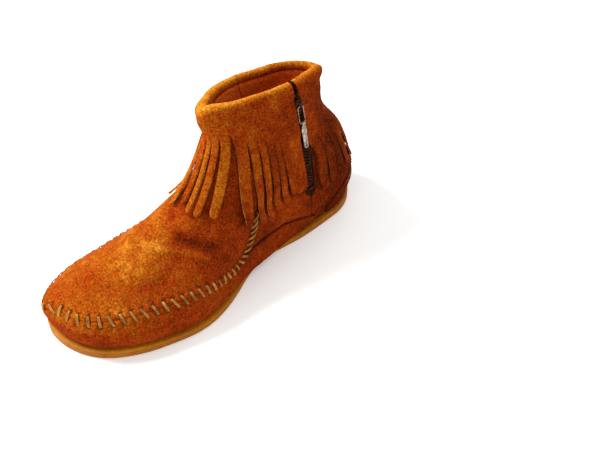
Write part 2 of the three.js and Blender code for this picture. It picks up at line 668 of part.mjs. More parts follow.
function buildZip() {
  buildTapes();
  const { top, tilt, length } = zipLine();
  const frame = new THREE.Group();
  frame.position.copy(top);
  frame.rotation.y = -tilt;
  group.add(frame);
  const hard = (name, geometry, color, roughness = 0.35) => frame.add(add(name, geometry, color, roughness, 0.9));
  hard('zip_teeth_front', zipTeeth(-1, length), COLOUR.brass);
  hard('zip_teeth_rear', zipTeeth(1, length), COLOUR.brass);
  const stop = (y0, y1, z0, z1) => block([0, y0, z0], [TOOTH_HEIGHT + 0.2, y1, z1]);
  hard('zip_top_stop_front', stop(-3.2, -0.5, 6.4, 8.4), COLOUR.brass);
  hard('zip_top_stop_rear', stop(0.5, 3.2, 7.0, 9.0), COLOUR.brass);
  hard('zip_bottom_stop', stop(-3.2, 3.2, -length - 2.6, -length - 0.6), COLOUR.brass);
  hard('zip_slider', buildSlider(), COLOUR.brass);
  hard('zip_pull_link', pullLink(), COLOUR.steel, 0.25);
  hard('zip_pull_tab', pullTab(), COLOUR.steel, 0.25);
}

// ---------------------------------------------------------------- beads and feathers
const BEAD_RADIUS = 3.4;
const STRAND_GAP = 8;             // distance between the two hanging strands
const STRAND_LEVEL = 5.02;
const STRAND_ANGLE = 254;
const STRAND_TILT = 10;           // the strands lean outward over the fringe
const FEATHER_LENGTH = 24;

function buildOrnament() {
  const { point, out } = surfaceFrame(STRAND_LEVEL, STRAND_ANGLE);
  const outward = new THREE.Vector3(out.x, out.y, 0).normalize();
  const frame = new THREE.Group();
  frame.position.copy(point).addScaledVector(out, 4.4);
  frame.rotation.order = 'ZYX';
  frame.rotation.z = Math.atan2(outward.y, outward.x);
  frame.rotation.y = -rad(STRAND_TILT);
  group.add(frame);
  const soft = (name, geometry, color, roughness) => frame.add(add(name, geometry, color, roughness));
  const arch = [[-3.1, -4.2, 1.5], [-2.4, -3.4, 2.6], [-2.2, 0, 3.1], [-2.4, 3.4, 2.6], [-3.1, 4.2, 1.5]];
  soft('thong_keeper', wire(arch.map((p) => new THREE.Vector3(...p)), 1, 6, 12), COLOUR.suede);
  [['front', 1], ['rear', -1]].forEach(([label, side]) => {
    const y = (side * STRAND_GAP) / 2;
    const thong = [[-1.6, 0, 0], [-0.5, 0, -3], [0, 0, -8], [0, 0, -13]];
    soft(`thong_${label}`, wire(thong.map(([a, b, c]) => new THREE.Vector3(a, b + y, c)), 0.9, 6, 10),
      COLOUR.suede);
    const bead = new THREE.LatheGeometry([
      [1.25, -2.5], [2.6, -2.3], [BEAD_RADIUS, -0.9], [BEAD_RADIUS, 0.9], [2.6, 2.3], [1.25, 2.5], [1.25, -2.5],
    ].map(([r, h]) => new THREE.Vector2(r, h)), 12);
    bead.rotateX(Math.PI / 2).translate(0, y, -8.6);
    soft(`bead_${label}`, bead, COLOUR.bead, 0.25);
    soft(`feather_${label}`, feather(y, side), COLOUR.feather, 0.9);
  });
}

// A feather's vane: a thin leaf, widest a third of the way down, that bends outward near its tip.
function feather(y, side) {
  const rows = 7;
  const place = (x) => (i, j) => {
    const down = 1 - i / rows;
    const half = 0.7 + 3.3 * Math.sin(Math.PI * Math.min(1, 0.12 + down * 0.86)) ** 0.8;
    const z = -13.4 - FEATHER_LENGTH * down;
    return new THREE.Vector3(x + 2.5 * down * down, y + half * (1 - j) * 0.95 + side * 1.5 * down, z);
  };
  return sheet(rows, 2, place(0.35), place(-0.35));
}

buildSole();
buildUpper();
buildFacings();
buildCuffs();
buildStitches();
buildZip();
buildOrnament();

export default group;
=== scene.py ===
"""Fringed suede moccasin ankle boot for the right foot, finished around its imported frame.

Row frame: +Z up, toe towards -Y, inner (medial) side +X. Shapes are worked out in millimetres.
"""

import json
import math

import bmesh
import bpy
import numpy as np
from mathutils import Matrix, Vector


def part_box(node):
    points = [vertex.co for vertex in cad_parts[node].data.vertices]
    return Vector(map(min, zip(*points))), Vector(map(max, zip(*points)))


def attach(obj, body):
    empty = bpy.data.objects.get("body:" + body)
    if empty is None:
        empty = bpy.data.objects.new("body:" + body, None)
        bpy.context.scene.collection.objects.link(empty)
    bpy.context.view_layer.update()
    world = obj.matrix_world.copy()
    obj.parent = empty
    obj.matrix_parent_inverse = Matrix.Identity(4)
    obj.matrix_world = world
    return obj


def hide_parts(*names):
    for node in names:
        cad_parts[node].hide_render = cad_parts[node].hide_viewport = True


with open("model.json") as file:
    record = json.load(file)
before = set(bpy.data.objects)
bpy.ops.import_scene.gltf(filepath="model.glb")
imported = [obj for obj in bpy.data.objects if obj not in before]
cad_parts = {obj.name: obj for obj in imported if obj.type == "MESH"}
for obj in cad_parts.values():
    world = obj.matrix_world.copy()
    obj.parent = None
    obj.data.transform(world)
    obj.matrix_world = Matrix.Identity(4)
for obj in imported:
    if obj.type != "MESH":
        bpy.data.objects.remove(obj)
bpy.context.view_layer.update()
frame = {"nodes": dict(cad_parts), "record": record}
MM = 0.001
SCRIPT_SEED = 11

# ---- driving dimensions, in mm
SHIFT = np.array([-4.23, 124.65])  # where the heel line stands in the row frame
SOLE_HEIGHT = 9.0
SOLE_OVERHANG = 2.5
SOLE_TUCK = 6.2  # how far the sole is drawn in at the inner waist
LEATHER = 1.5
COUNTER_LEATHER = 2.0
LINING_LEATHER = 0.8
FRINGE_LEATHER = 1.6
COVERED_INSET = 2.4  # how far the leather lies under the fringe's outer face
ROLL_RADIUS = 3.4
ROLL_FRONT = 1.9  # how much fatter the padded roll is round the front
ROLL_NEAR = 0.9  # how much fatter it is on the inner side
ROLL_INNER_DROP = 12  # how far its leather hangs down inside
LEVEL_HEIGHT = 17.5  # height of one level at the cuff
ROLL_INNER_EASE = 2.0  # how far the roll's leather leans inwards on its way down
RIM_RISE = 5  # how much higher the rim stands on the inner side
ZIP_LINE = 55  # distance of the zip from the heel line
ZIP_OPENING = 5.2  # half the gap between the leather edges
CUFF_OPENING = 3.8  # half the gap between the cuff edges
RIM_OPENING = 2.4  # the same at the rim
CUFF_SEAM = 262  # angle of the cuff's seam on the outer side
THREAD = 0.42  # radius of the whip stitch's thread
FINE_THREAD = 0.3

# Rings of the boot's outer surface, lowest first. back and front are [distance from the heel
# line, height]; caps are the rounded lengths at the heel and toe; the half widths are at the
# heel, waist, ball and toe; swing moves the toe end sideways.
LEVELS = np.array([
    # back      front       caps      medial                lateral           swing
    [3, 9, 250, 9, 32, 46, 30.5, 37.5, 55, 48, 29, 37, 38, 35, -8],
    [-2, 20, 253, 20, 32, 44, 31, 36, 55, 49, 30, 37, 36, 32, -8],
    [-3, 30, 247, 30, 34, 44, 30, 35, 50, 40, 28, 35, 29.5, 25.5, -6],
    [0.5, 47, 201, 46, 36, 52, 30, 31, 40, 33, 27, 32, 21.5, 21, 0],
    [8, 67, 155, 68, 36, 54, 27, 28, 31, 29, 27, 30, 21.5, 20.5, 4],
    [22, 89, 122, 101, 42, 44, 20.5, 22, 23, 24, 25, 27, 24, 24, 0],
    [20.5, 110.5, 122, 122.5, 38, 40, 13, 13.5, 14, 15, 21.5, 23.5, 22.5, 21, -4],
])
STATIONS = np.array([0, 0.14, 0.45, 0.68, 0.88, 1])  # where along the foot the half widths are given


# ---- curves
def mix(a, b, t):
    return a + (b - a) * t


def smoothstep(low, high, x):
    t = np.clip((np.asarray(x, float) - low) / (high - low), 0, 1)
    return t * t * (3 - 2 * t)


def bump(x, width):
    return np.exp(-((x / width) ** 2))


def spline(knots, values, x):
    """Smooth curve: values has one row for each knot, each row as long as x or a single number."""
    last = len(knots) - 1
    values = np.stack([np.broadcast_to(row, x.shape) for row in values])
    before = np.maximum(np.arange(last + 1) - 1, 0)
    after = np.minimum(np.arange(last + 1) + 1, last)
    slopes = (values[after] - values[before]) / (knots[after] - knots[before]).reshape(-1, *[1] * x.ndim)
    k = np.searchsorted(knots[1:last], x, side="left")
    span = knots[k + 1] - knots[k]
    t = (x - knots[k]) / span

    def pick(table, row):
        return np.take_along_axis(table, row[None], 0)[0]

    return (
        (2 * t**3 - 3 * t**2 + 1) * pick(values, k)
        + (t**3 - 2 * t**2 + t) * span * pick(slopes, k)
        + (3 * t**2 - 2 * t**3) * pick(values, k + 1)
        + (t**3 - t**2) * span * pick(slopes, k + 1)
    )


def fold(phi):
    """Angle folded onto 0 (heel) to 180 (toe), the same on both sides."""
    return np.abs((phi + 180) % 360 - 180)


def lumps(points, scale, seed):
    """Soft seeded unevenness between -1 and 1, with hollows about scale millimetres apart."""
    rng = np.random.default_rng(SCRIPT_SEED + seed)
    total = np.zeros(len(points))
    for _ in range(7):
        direction = rng.normal(size=3)
        direction /= np.linalg.norm(direction)
        wave = points @ direction * (2 * math.pi / (scale * rng.uniform(0.7, 1.5)))
        total += np.sin(wave + rng.uniform(0, 2 * math.pi))
    return total / 7 * 1.6


# ---- the boot's outer surface
def ring(v):
    """The columns of LEVELS at level v."""
    knots = np.arange(len(LEVELS), dtype=float)
    return [spline(knots, column, v) for column in LEVELS.T]


def round_end(distance, length):
    """Share of the full width near an end that is rounded over a length."""
    q = np.clip(1 - distance / length, 0, 1)
    return np.sqrt(1 - q * q)


def feather_dip(phi):
    """How far the feather line dips below the sole's full height."""
    dip = np.interp(fold(phi), [0, 30, 55, 82, 105, 125, 145, 162], [2, 2.4, 3.4, 4.4, 4, 2.6, 1, 0])
    return dip * mix(0.7, 1, (1 + np.sin(np.radians(phi))) / 2)


def surface(v, phi):
    """Points at height level v (0 feather line, 6 rim) and angle phi (0 heel, 90 medial, 180 toe)."""
    back, back_height, front, front_height, heel_cap, toe_cap, *widths, swing = ring(v)
    angle = np.radians(phi)
    t = (1 - np.cos(angle)) / 2
    along = mix(back, front, t)
    medial, lateral = [spline(STATIONS, [side[0], *side, side[3]], t) for side in (widths[:4], widths[4:])]
    half = np.where(np.sin(angle) >= 0, medial, -lateral)
    half = half * round_end(along - back, heel_cap) * round_end(front - along, toe_cap)
    x = half + swing * smoothstep(0.35, 1, t) + SHIFT[0]
    rise = RIM_RISE * smoothstep(4, 6, v) * smoothstep(-0.4, 0.6, np.sin(angle))
    height = mix(back_height, front_height, t) - feather_dip(phi) * smoothstep(1, 0, v) + rise
    return np.stack([x, SHIFT[1] - along, height], -1)


def unit(vectors):
    """The vectors at a length of 1."""
    return vectors / np.maximum(np.linalg.norm(vectors, axis=-1, keepdims=True), 1e-9)


def surface_frame(v, phi):
    """Points and the upward, forward-running and outward directions at them."""
    v, phi = np.asarray(v, float), np.asarray(phi, float)
    up = unit(surface(v + 0.02, phi) - surface(v - 0.02, phi))
    along = unit(surface(v, phi + 0.8) - surface(v, phi - 0.8))
    return surface(v, phi), up, along, unit(np.cross(up, along))


def skin(v, phi):
    """Points and outward directions."""
    point, _, _, out = surface_frame(v, phi)
    return point, out


def angle_at(v, distance):
    """Angle of the point at a distance from the heel line, on the medial side."""
    back, _, front, *_ = ring(np.asarray(v, float))
    t = np.clip((distance - back) / (front - back), 0, 1)
    return np.degrees(np.arccos(1 - 2 * t))


def covered_inset(v, phi):
    """How far the leather lies in under the fringe, from nothing where the fringe doesn't reach."""
    frontness = smoothstep(0.1, 0.95, (1 - np.cos(np.radians(phi))) / 2)
    start = mix(2.2, 3.6, frontness)
    return COVERED_INSET * smoothstep(0, 1, (v - start) / 0.7)


def constant(value):
    """A panel's edge or depth that is the same everywhere."""
    return lambda x, *_: np.full_like(np.asarray(x, float), value)


PAINTED_LIGHT_FACING = np.array([-0.6, -0.35, 0.72])  # faces turned this way, towards the key light, get painted light


def painted_light_tone(points, out):
    """Painted light and shade, about -1 to 1: lighter on faces turned to the key light, with painted shade
    round the front of the toe and low at the back.
    """
    back = smoothstep(40, 95, points[:, 1]) * smoothstep(-0.2, 0.6, out @ unit(np.array([0.6, 0.8, 0])))
    toe = smoothstep(-90, -122, points[:, 1]) * smoothstep(0.75, 0.3, out[:, 2])
    return 0.8 * (out @ PAINTED_LIGHT_FACING) + 0.08 - 0.6 * toe - 0.8 * back * smoothstep(92, 72, points[:, 2])


# ---- meshes
def grid_faces(rows, cols, first=0, flip=False, closed=False):
    """Quads over rows by cols cells; a closed grid joins its last column to its first."""
    width = cols if closed else cols + 1
    i, j = np.meshgrid(np.arange(rows), np.arange(cols), indexing="ij")
    k = (j + 1) % width
    quads = np.stack([i * width + j, (i + 1) * width + j, (i + 1) * width + k, i * width + k], -1)
    quads = quads.reshape(-1, 4) + first
    return quads[:, ::-1] if flip else quads


CUT = 1  # a fringed cuff's materials: 0 its suede, then these two
LEAF = 2


class Shape:
    """Collects vertices in millimetres and faces, then makes one object of them."""

    def __init__(self):
        self.points = []
        self.faces = []
        self.slots = []
        self.tones = []
        self.count = 0

    def add(self, points, faces, material=0, tone=0.0):
        """Adds faces; material is a number in the piece's list of materials, or one for each face."""
        points = np.asarray(points, float).reshape(-1, 3)
        self.points.append(points)
        self.tones.append(np.broadcast_to(tone, len(points)))
        self.faces.extend((np.asarray(face) + self.count).tolist() for face in faces)
        self.slots.extend(np.broadcast_to(material, len(faces)).tolist())
        self.count += len(points)

    def add_sheet(self, outer, inner, material, tone, flip=False):
        """Two skins over one grid, with cut walls at its sides and last row; its first row stays open."""
        rows, cols = outer.shape[0] - 1, outer.shape[1] - 1
        width = cols + 1
        count = (rows + 1) * width
        skins = [grid_faces(rows, cols, 0, flip), grid_faces(rows, cols, count, not flip)]
        a = np.arange(rows) * width
        left = np.stack([a, a + width, count + a + width, count + a], -1)
        right = np.stack([a, count + a, count + a + width, a + width], -1) + cols
        a = rows * width + np.arange(cols)
        last = np.stack([a, a + 1, count + a + 1, count + a], -1)
        walls = np.concatenate([np.stack([left, right], 1).reshape(-1, 4), last])
        walls = walls[:, [0, 3, 2, 1]] if flip else walls
        materials = [np.broadcast_to(material, 2 * rows * cols), np.full(len(walls), CUT)]
        points = np.concatenate([outer.reshape(-1, 3), inner.reshape(-1, 3)])
        self.add(points, np.concatenate([*skins, walls]), np.concatenate(materials), tone)

    def build(self, name, node, materials, slot, body="boot", weld=1e-6, smooth=True):
        """Makes the piece, which takes the place of a CAD node if one is named."""
        mesh = bpy.data.meshes.new(name)
        mesh.from_pydata((np.concatenate(self.points) * MM).tolist(), [], self.faces)
        for material in materials:
            mesh.materials.append(material)
        mesh.polygons.foreach_set("material_index", self.slots)
        # the tone attribute carries painted light and shade into the suede materials
        mesh.attributes.new("tone", "FLOAT", "POINT").data.foreach_set("value", np.concatenate(self.tones))
        work = bmesh.new()
        work.from_mesh(mesh)
        bmesh.ops.remove_doubles(work, verts=work.verts, dist=weld)
        work.to_mesh(mesh)
        work.free()
        mesh.polygons.foreach_set("use_smooth", [smooth] * len(mesh.polygons))
        mesh.update()
        return add_piece(name, mesh, node, body)


def add_object(name, data):
    made = bpy.data.objects.new(name, data)
    bpy.context.scene.collection.objects.link(made)
    return made


def add_piece(name, mesh, node, body):
    piece = add_object(name, mesh)
    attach(piece, body)
    if node:
        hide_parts(node)
    return piece


def lines(length, cell, lip):
    """Grid positions over 0 to 1, closer near both ends, and how far each is from the nearest end."""
    near = np.array([0, 0.08, 0.3, 0.65, 1]) * lip
    count = max(3, round((length - 2 * lip) / cell))
    middle = np.linspace(lip, length - lip, count + 1)[1:-1]
    at = np.concatenate([near, middle, (length - near)[::-1]])
    return at / length, np.minimum(at, length - at)


def settle(edges, s, t):
    """Level and angle of grid points between a panel's four edges, which depend on each other."""
    low, high, start, end = edges
    v = np.full(s.shape, 3.0)
    for _ in range(6):
        phi = mix(start(v), end(v), t)
        v = mix(low(phi), high(phi), s)
    return v, phi


def arc_length(course):
    """Length over the surface of a course of levels and angles."""
    return np.linalg.norm(np.diff(surface(*course), axis=0), axis=1).sum()


def panel(edges, depth, thickness, relief=None, cell=1.1, lip=0.8):
    """A sheet of leather with rounded edges, its outer face at a depth below the surface."""
    probe = np.linspace(0, 1, 24)
    height = arc_length(settle(edges, probe, np.full(24, 0.5)))
    width = max(arc_length(settle(edges, np.full(24, row), probe)) for row in (0.05, 0.5))
    s, s_edge = lines(height, cell, lip)
    t, t_edge = lines(width, cell, lip)
    grid_s, grid_t = [axis.ravel() for axis in np.meshgrid(s, t, indexing="ij")]
    v, phi = settle(edges, grid_s, grid_t)
    edge = np.minimum(s_edge[:, None], t_edge[None, :]).ravel()
    fullness = np.sqrt(1 - (1 - np.minimum(edge / lip, 1)) ** 2)
    point, out = skin(v, phi)
    middle = -depth(v, phi) - thickness / 2
    if relief:
        middle = middle + relief(v, phi, point)
    swell = thickness / 2 * fullness
    shape = Shape()
    rows, cols = len(s) - 1, len(t) - 1
    # tone: painted light from the facing, painted shade under the fringe and in the folds' hollows, painted
    # highlight on their ridges; the inner face gets painted shade
    tone = painted_light_tone(point, out) - 0.7 * smoothstep(0.3, 1.6, depth(v, phi)) + 0.55 * crease_relief(point)
    shape.add(point + out * (middle + swell)[:, None], grid_faces(rows, cols), tone=tone)
    shape.add(point + out * (middle - swell)[:, None], grid_faces(rows, cols, flip=True), tone=-0.6)
    return shape


def frames_along(points):
    """Two sideways directions for each point of a path, which don't spin along it."""
    tangent = unit(np.gradient(points, axis=0))
    side = np.cross(tangent[0], [0, 0, 1.0])
    if np.linalg.norm(side) < 0.2:
        side = np.cross(tangent[0], [1.0, 0, 0])
    sides = []
    for direction in tangent:
        side = unit(side - direction * (side @ direction))
        sides.append(side)
    return np.array(sides), np.cross(tangent, sides)


def around(count):
    """Angles in radians that share out a full turn."""
    return np.linspace(0, 2 * math.pi, count, endpoint=False)


def tube(shape, points, radius, sides=8, flat=1.0, closed=False):
    """A round strand along points. radius is a number or one for each point; flat squashes it."""
    points = np.asarray(points, float)
    side, other = frames_along(points)
    if closed:
        centre = points.mean(0)
        side = unit(points - centre)
        other = np.cross(unit(np.roll(points, -1, 0) - np.roll(points, 1, 0)), side)
    radius = np.broadcast_to(radius, len(points))[:, None, None]
    angle = around(sides)[None, :, None]
    rings = (
        points[:, None]
        + side[:, None] * (np.cos(angle) * radius)
        + other[:, None] * (np.sin(angle) * radius * flat)
    )
    rows = len(points) - 1
    faces = list(grid_faces(rows, sides, flip=True, closed=True))
    if closed:
        last = rows * sides
        faces += [[k, (k + 1) % sides, last + (k + 1) % sides, last + k] for k in range(sides)]
    else:
        faces += [list(range(sides)), [rows * sides + k for k in reversed(range(sides))]]
    shape.add(rings, faces)


def smooth_path(points, count):
    """Catmull-Rom curve through points, evenly stepped."""
    points = np.asarray(points, float)
    knots = np.arange(len(points), dtype=float)
    at = np.linspace(0, len(points) - 1, count)
    return np.stack([spline(knots, points[:, k], at) for k in range(points.shape[1])], -1)


# ---- materials
def srgb(red, green, blue):
    """Linear colour of 0 to 255 display values."""
    values = np.array([red, green, blue]) / 255
    linear = np.where(values <= 0.04045, values / 12.92, ((values + 0.055) / 1.055) ** 2.4)
    return (*linear.tolist(), 1.0)


class Nodes:
    """Short way of writing a material's nodes."""

    def __init__(self, name):
        self.material = bpy.data.materials.new(name)
        self.material.use_nodes = True
        self.tree = self.material.node_tree
        self.shader = self.tree.nodes["Principled BSDF"]
        self.place = self.tree.nodes.new("ShaderNodeTexCoord").outputs["Object"]

    def node(self, kind, inputs=None, **settings):
        node = self.tree.nodes.new("ShaderNode" + kind)
        for key, value in settings.items():
            setattr(node, key, value)
        for key, value in (inputs or {}).items():
            self.put(node.inputs[key], value)
        return node

    def put(self, socket, value):
        if isinstance(value, bpy.types.NodeSocket):
            self.tree.links.new(value, socket)
        else:
            socket.default_value = value

    def noise(self, size, detail=3.0, roughness=0.55, stretch=None):
        """Noise with features about size millimetres across."""
        vector = self.place
        if stretch:
            vector = self.node("Mapping", {"Vector": vector, "Scale": stretch}).outputs["Vector"]
        inputs = {"Vector": vector, "Scale": 1 / (size * MM), "Detail": detail, "Roughness": roughness}
        return self.node("TexNoise", inputs).outputs["Fac"]

    def waves(self, size, direction="Z", distortion=0.0):
        inputs = {"Vector": self.place, "Scale": 0.314 / (size * MM), "Distortion": distortion}
        return self.node("TexWave", inputs, bands_direction=direction).outputs["Fac"]

    def ramp(self, factor, stops):
        node = self.node("ValToRGB", {"Fac": factor})
        elements = node.color_ramp.elements
        while len(elements) < len(stops):
            elements.new(0.5)
        for element, (position, colour) in zip(elements, stops):
            element.position = position
            element.color = colour
        return node.outputs["Color"]

    def math(self, operation, a, b):
        return self.node("Math", {0: a, 1: b}, operation=operation).outputs[0]

    def two_noises(self, coarse, fine, share=0.5):
        """Two noises added by share; each is given as its size and detail."""
        coarse = self.math("MULTIPLY", self.noise(*coarse), share)
        return self.math("ADD", coarse, self.math("MULTIPLY", self.noise(*fine), 1 - share))

    def blend(self, factor, a, b, mode="MIX"):
        node = self.node("Mix", data_type="RGBA", blend_type=mode)
        self.put(node.inputs["Factor"], factor)
        self.put(node.inputs["A"], a)
        self.put(node.inputs["B"], b)
        return node.outputs["Result"]

    def bump(self, height, depth, normal=None):
        """Bump whose height input of 1 stands depth millimetres proud."""
        inputs = {"Height": height, "Distance": depth * MM, "Strength": 1.0}
        if normal:
            inputs["Normal"] = normal
        return self.node("Bump", inputs).outputs["Normal"]

    def finish(self, **inputs):
        for key, value in inputs.items():
            self.put(self.shader.inputs[key.replace("_", " ")], value)
        return self.material


def suede(name, dark, middle, light, fleck):
    """Brushed leather: patches of turned nap, soft mottling, a coarse speckle and pale fibre ends; the tone
    attribute adds painted light and shade.
    """
    n = Nodes(name)
    # the tone attribute brings painted light, painted shade and painted highlights into the colour
    tone_shift = n.math("MULTIPLY", n.node("Attribute", attribute_name="tone").outputs["Fac"], 0.13)
    patches = n.math("MULTIPLY", n.noise(34, 2.0, 0.5), 0.4)
    mottle = n.noise(6, 4.0, 0.7)
    tone = n.math("ADD", patches, n.math("MULTIPLY", mottle, 0.36))
    tone = n.math("ADD", n.math("ADD", tone, 0.12), tone_shift)
    colour = n.ramp(tone, [(0.34, dark), (0.5, middle), (0.64, light), (0.8, fleck)])
    speckle = n.noise(1.25, 2.0, 0.6)
    grain = [(0.32, (0.5, 0.42, 0.3, 1)), (0.5, (0.96, 0.96, 0.96, 1)), (0.68, (1.45, 1.6, 1.8, 1))]
    colour = n.blend(1.0, colour, n.ramp(speckle, grain), "MULTIPLY")
    ends = n.ramp(n.noise(0.9, 2.0, 0.7), [(0.58, (0, 0, 0, 1)), (0.72, (0.4, 0.4, 0.4, 1))])
    colour = n.blend(ends, colour, fleck)
    normal = n.bump(mottle, 0.5, n.bump(speckle, 0.4))
    shine = {"Sheen_Weight": 0.12, "Sheen_Roughness": 0.4, "Sheen_Tint": light}
    return n.finish(Base_Color=colour, Roughness=1.0, Specular_IOR_Level=0.02, Normal=normal, **shine)


FLECK = srgb(194, 122, 34)  # pale fibre ends
upper_suede = suede("upper_suede", srgb(88, 22, 4), srgb(136, 44, 6), srgb(150, 72, 10), FLECK)
fringe_suede = suede("fringe_suede", srgb(84, 20, 4), srgb(140, 48, 6), srgb(160, 84, 12), FLECK)
thong_suede = suede("thong_suede", srgb(86, 30, 8), srgb(136, 60, 16), srgb(170, 96, 36), FLECK)
cut_edge = suede("cut_edge", srgb(140, 66, 26), srgb(192, 112, 54), srgb(212, 142, 82), srgb(224, 164, 108))
inner_suede = suede("inner_suede", srgb(112, 32, 8), srgb(178, 68, 16), srgb(196, 96, 28), srgb(204, 116, 44))


def gum_rubber():
    n = Nodes("gum_rubber")
    tone = n.two_noises((40, 3), (3, 4), 0.6)
    colour = n.ramp(tone, [(0.3, srgb(132, 70, 2)), (0.52, srgb(164, 96, 4)), (0.75, srgb(186, 122, 12))])
    scuff = n.ramp(n.noise(9, 5, 0.75, (1, 1, 3)), [(0.56, srgb(0, 0, 0)), (0.7, srgb(150, 150, 150))])
    colour = n.blend(scuff, colour, srgb(138, 82, 20))
    fine = n.bump(n.noise(0.7, 3), 0.05)
    return n.finish(Base_Color=colour, Roughness=0.55, Specular_IOR_Level=0.12, Normal=fine)


def waxed_thread():
    n = Nodes("waxed_thread")
    tone = n.two_noises((6, 2), (0.5, 2))
    colour = n.ramp(tone, [(0.35, srgb(112, 70, 26)), (0.52, srgb(166, 118, 56)), (0.68, srgb(202, 156, 88))])
    normal = n.bump(n.waves(0.55, "DIAGONAL", 0.6), 0.1)
    return n.finish(Base_Color=colour, Roughness=0.85, Specular_IOR_Level=0.12, Normal=normal)


def woven_tape():
    n = Nodes("zip_tape")
    weave = n.math("MULTIPLY", n.waves(0.7, "Z"), n.waves(0.7, "Y"))
    # very dark brown: partly the tape's own colour, partly painted shade of the zip's gap
    colour = n.ramp(weave, [(0.0, srgb(30, 8, 2)), (1.0, srgb(56, 20, 6))])
    return n.finish(Base_Color=colour, Roughness=0.9, Normal=n.bump(weave, 0.15))


def aged_metal(name, dark, light, roughness):
    n = Nodes(name)
    wear = n.noise(1.6, 4, 0.65)
    colour = n.ramp(wear, [(0.35, dark), (0.62, light)])
    rough = n.ramp(wear, [(0.3, (roughness + 0.2,) * 3 + (1,)), (0.7, (roughness,) * 3 + (1,))])
    return n.finish(Base_Color=colour, Metallic=1.0, Roughness=rough, Normal=n.bump(n.noise(0.4, 2), 0.02))


def glossy_bead():
    n = Nodes("bead_glass")
    swirl = n.noise(2.2, 3, 0.6, (1, 1, 2.5))
    colour = n.ramp(swirl, [(0.35, srgb(20, 28, 48)), (0.6, srgb(44, 62, 96)), (0.8, srgb(96, 112, 138))])
    return n.finish(Base_Color=colour, Roughness=0.16, Coat_Weight=0.6, Normal=n.bump(n.noise(1.2, 2), 0.05))


def feather_vane():
    """Rust brown barbs with dark bars, darkest at the tip."""
    n = Nodes("feather_vane")
    height = n.node("SeparateXYZ", {"Vector": n.place}).outputs["Z"]
    jitter = n.math("MULTIPLY", n.math("SUBTRACT", n.noise(2.5, 3), 0.5), 0.008)
    height = n.math("ADD", height, jitter)
    reach = n.node("MapRange", {"Value": height, "From Min": 0.058, "From Max": 0.086}).outputs["Result"]
    rust, dark = srgb(166, 80, 30), srgb(46, 26, 18)
    stops = [(0.0, dark), (0.16, dark), (0.22, rust), (0.4, rust), (0.46, dark), (0.52, rust)]
    stops.append((1.0, srgb(186, 104, 48)))
    return n.finish(Base_Color=n.ramp(reach, stops), Roughness=0.75, Sheen_Weight=0.3)


def plain_grain(name, dark, light, size, roughness, depth):
    """Two close tones and a fine grain."""
    n = Nodes(name)
    colour = n.ramp(n.two_noises((18, 3), (size, 3)), [(0.35, dark), (0.65, light)])
    return n.finish(Base_Color=colour, Roughness=roughness, Normal=n.bump(n.noise(size, 3), depth))


gum = gum_rubber()
thread = waxed_thread()
tape = woven_tape()
# very dark: partly the brass's aged colour, partly painted shade of the zip's gap
brass = aged_metal("antique_brass_and_painted_shade", srgb(30, 12, 6), srgb(86, 46, 24), 0.5)
steel = aged_metal("pull_steel", srgb(84, 66, 58), srgb(190, 170, 156), 0.3)
bead_glass = glossy_bead()
vane = feather_vane()
board = plain_grain("fibre_board", srgb(130, 98, 66), srgb(176, 142, 102), 1.2, 0.9, 0.1)
sock = plain_grain("sock_leather", srgb(104, 58, 30), srgb(150, 92, 52), 1.6, 0.7, 0.12)
foam = plain_grain("pad_cover", srgb(150, 104, 62), srgb(190, 146, 96), 1.0, 0.85, 0.15)
lining = plain_grain("lining_leather", srgb(92, 42, 18), srgb(136, 70, 32), 1.4, 0.8, 0.12)
# dark plugs set in the needle holes: painted shade of the holes
painted_hole_shade = plain_grain("needle_hole_shade", srgb(48, 18, 6), srgb(66, 26, 10), 1.0, 1.0, 0.05)


# ---- whip-stitched seam
# The seam's course as [angle, level]: it dips at the waist and turns up under the fringe.
SEAM_COURSE = [
    [103, 3.45], [98, 3.1], [92, 2.6], [89, 2.1], [89, 1.6], [93, 1.28], [98, 1.42], [103, 1.7],
    [108, 1.9], [114, 2.0], [130, 2.0], [150, 2.0], [168, 2.0], [176, 2.0], [182, 1.9], [191, 1.38],
    [200, 1.0], [216, 0.83], [240, 0.85], [251, 1.08], [258.5, 1.45], [262.2, 1.95], [262.2, 2.5],
    [262.2, 3.1],
]
VAMP_EDGE_LEVELS = [1.3, 1.6, 2.1, 2.6, 3.1, 3.45]
VAMP_EDGE_ANGLES = [91, 89, 89, 92, 98, 103]
VAMP_LATERAL = 262  # angles of the upright seams on the outer side
REAR_LATERAL = -62
STITCH_REACH = 3.5  # half the length of a stitch
STITCH_SLANT = 1.3  # how far its ends lean along the seam


def seam_stitches():
    """Centre, direction along the seam, across it and outward of each stitch."""
    course = smooth_path(SEAM_COURSE, 900)
    point, out = skin(course[:, 1], course[:, 0])
    step = np.linalg.norm(np.diff(point, axis=0), axis=1)
    run = np.concatenate([[0], np.cumsum(step)])
    pitch = mix(5.2, 7.3, smoothstep(100, 135, fold(course[:, 0])))
    number = np.concatenate([[0], np.cumsum(step / pitch[1:])])
    at = np.interp(np.arange(0.5, number[-1]), number, run)
    tangent = unit(np.gradient(point, axis=0))
    sample = lambda table: np.stack([np.interp(at, run, table[:, k]) for k in range(3)], -1)
    centre, along, outward = sample(point), unit(sample(tangent)), unit(sample(out))
    return centre, along, unit(np.cross(along, outward)), outward


STITCHES = seam_stitches()
POINTS_AT_ONCE = 4000  # keeps the tables of points by stitches small


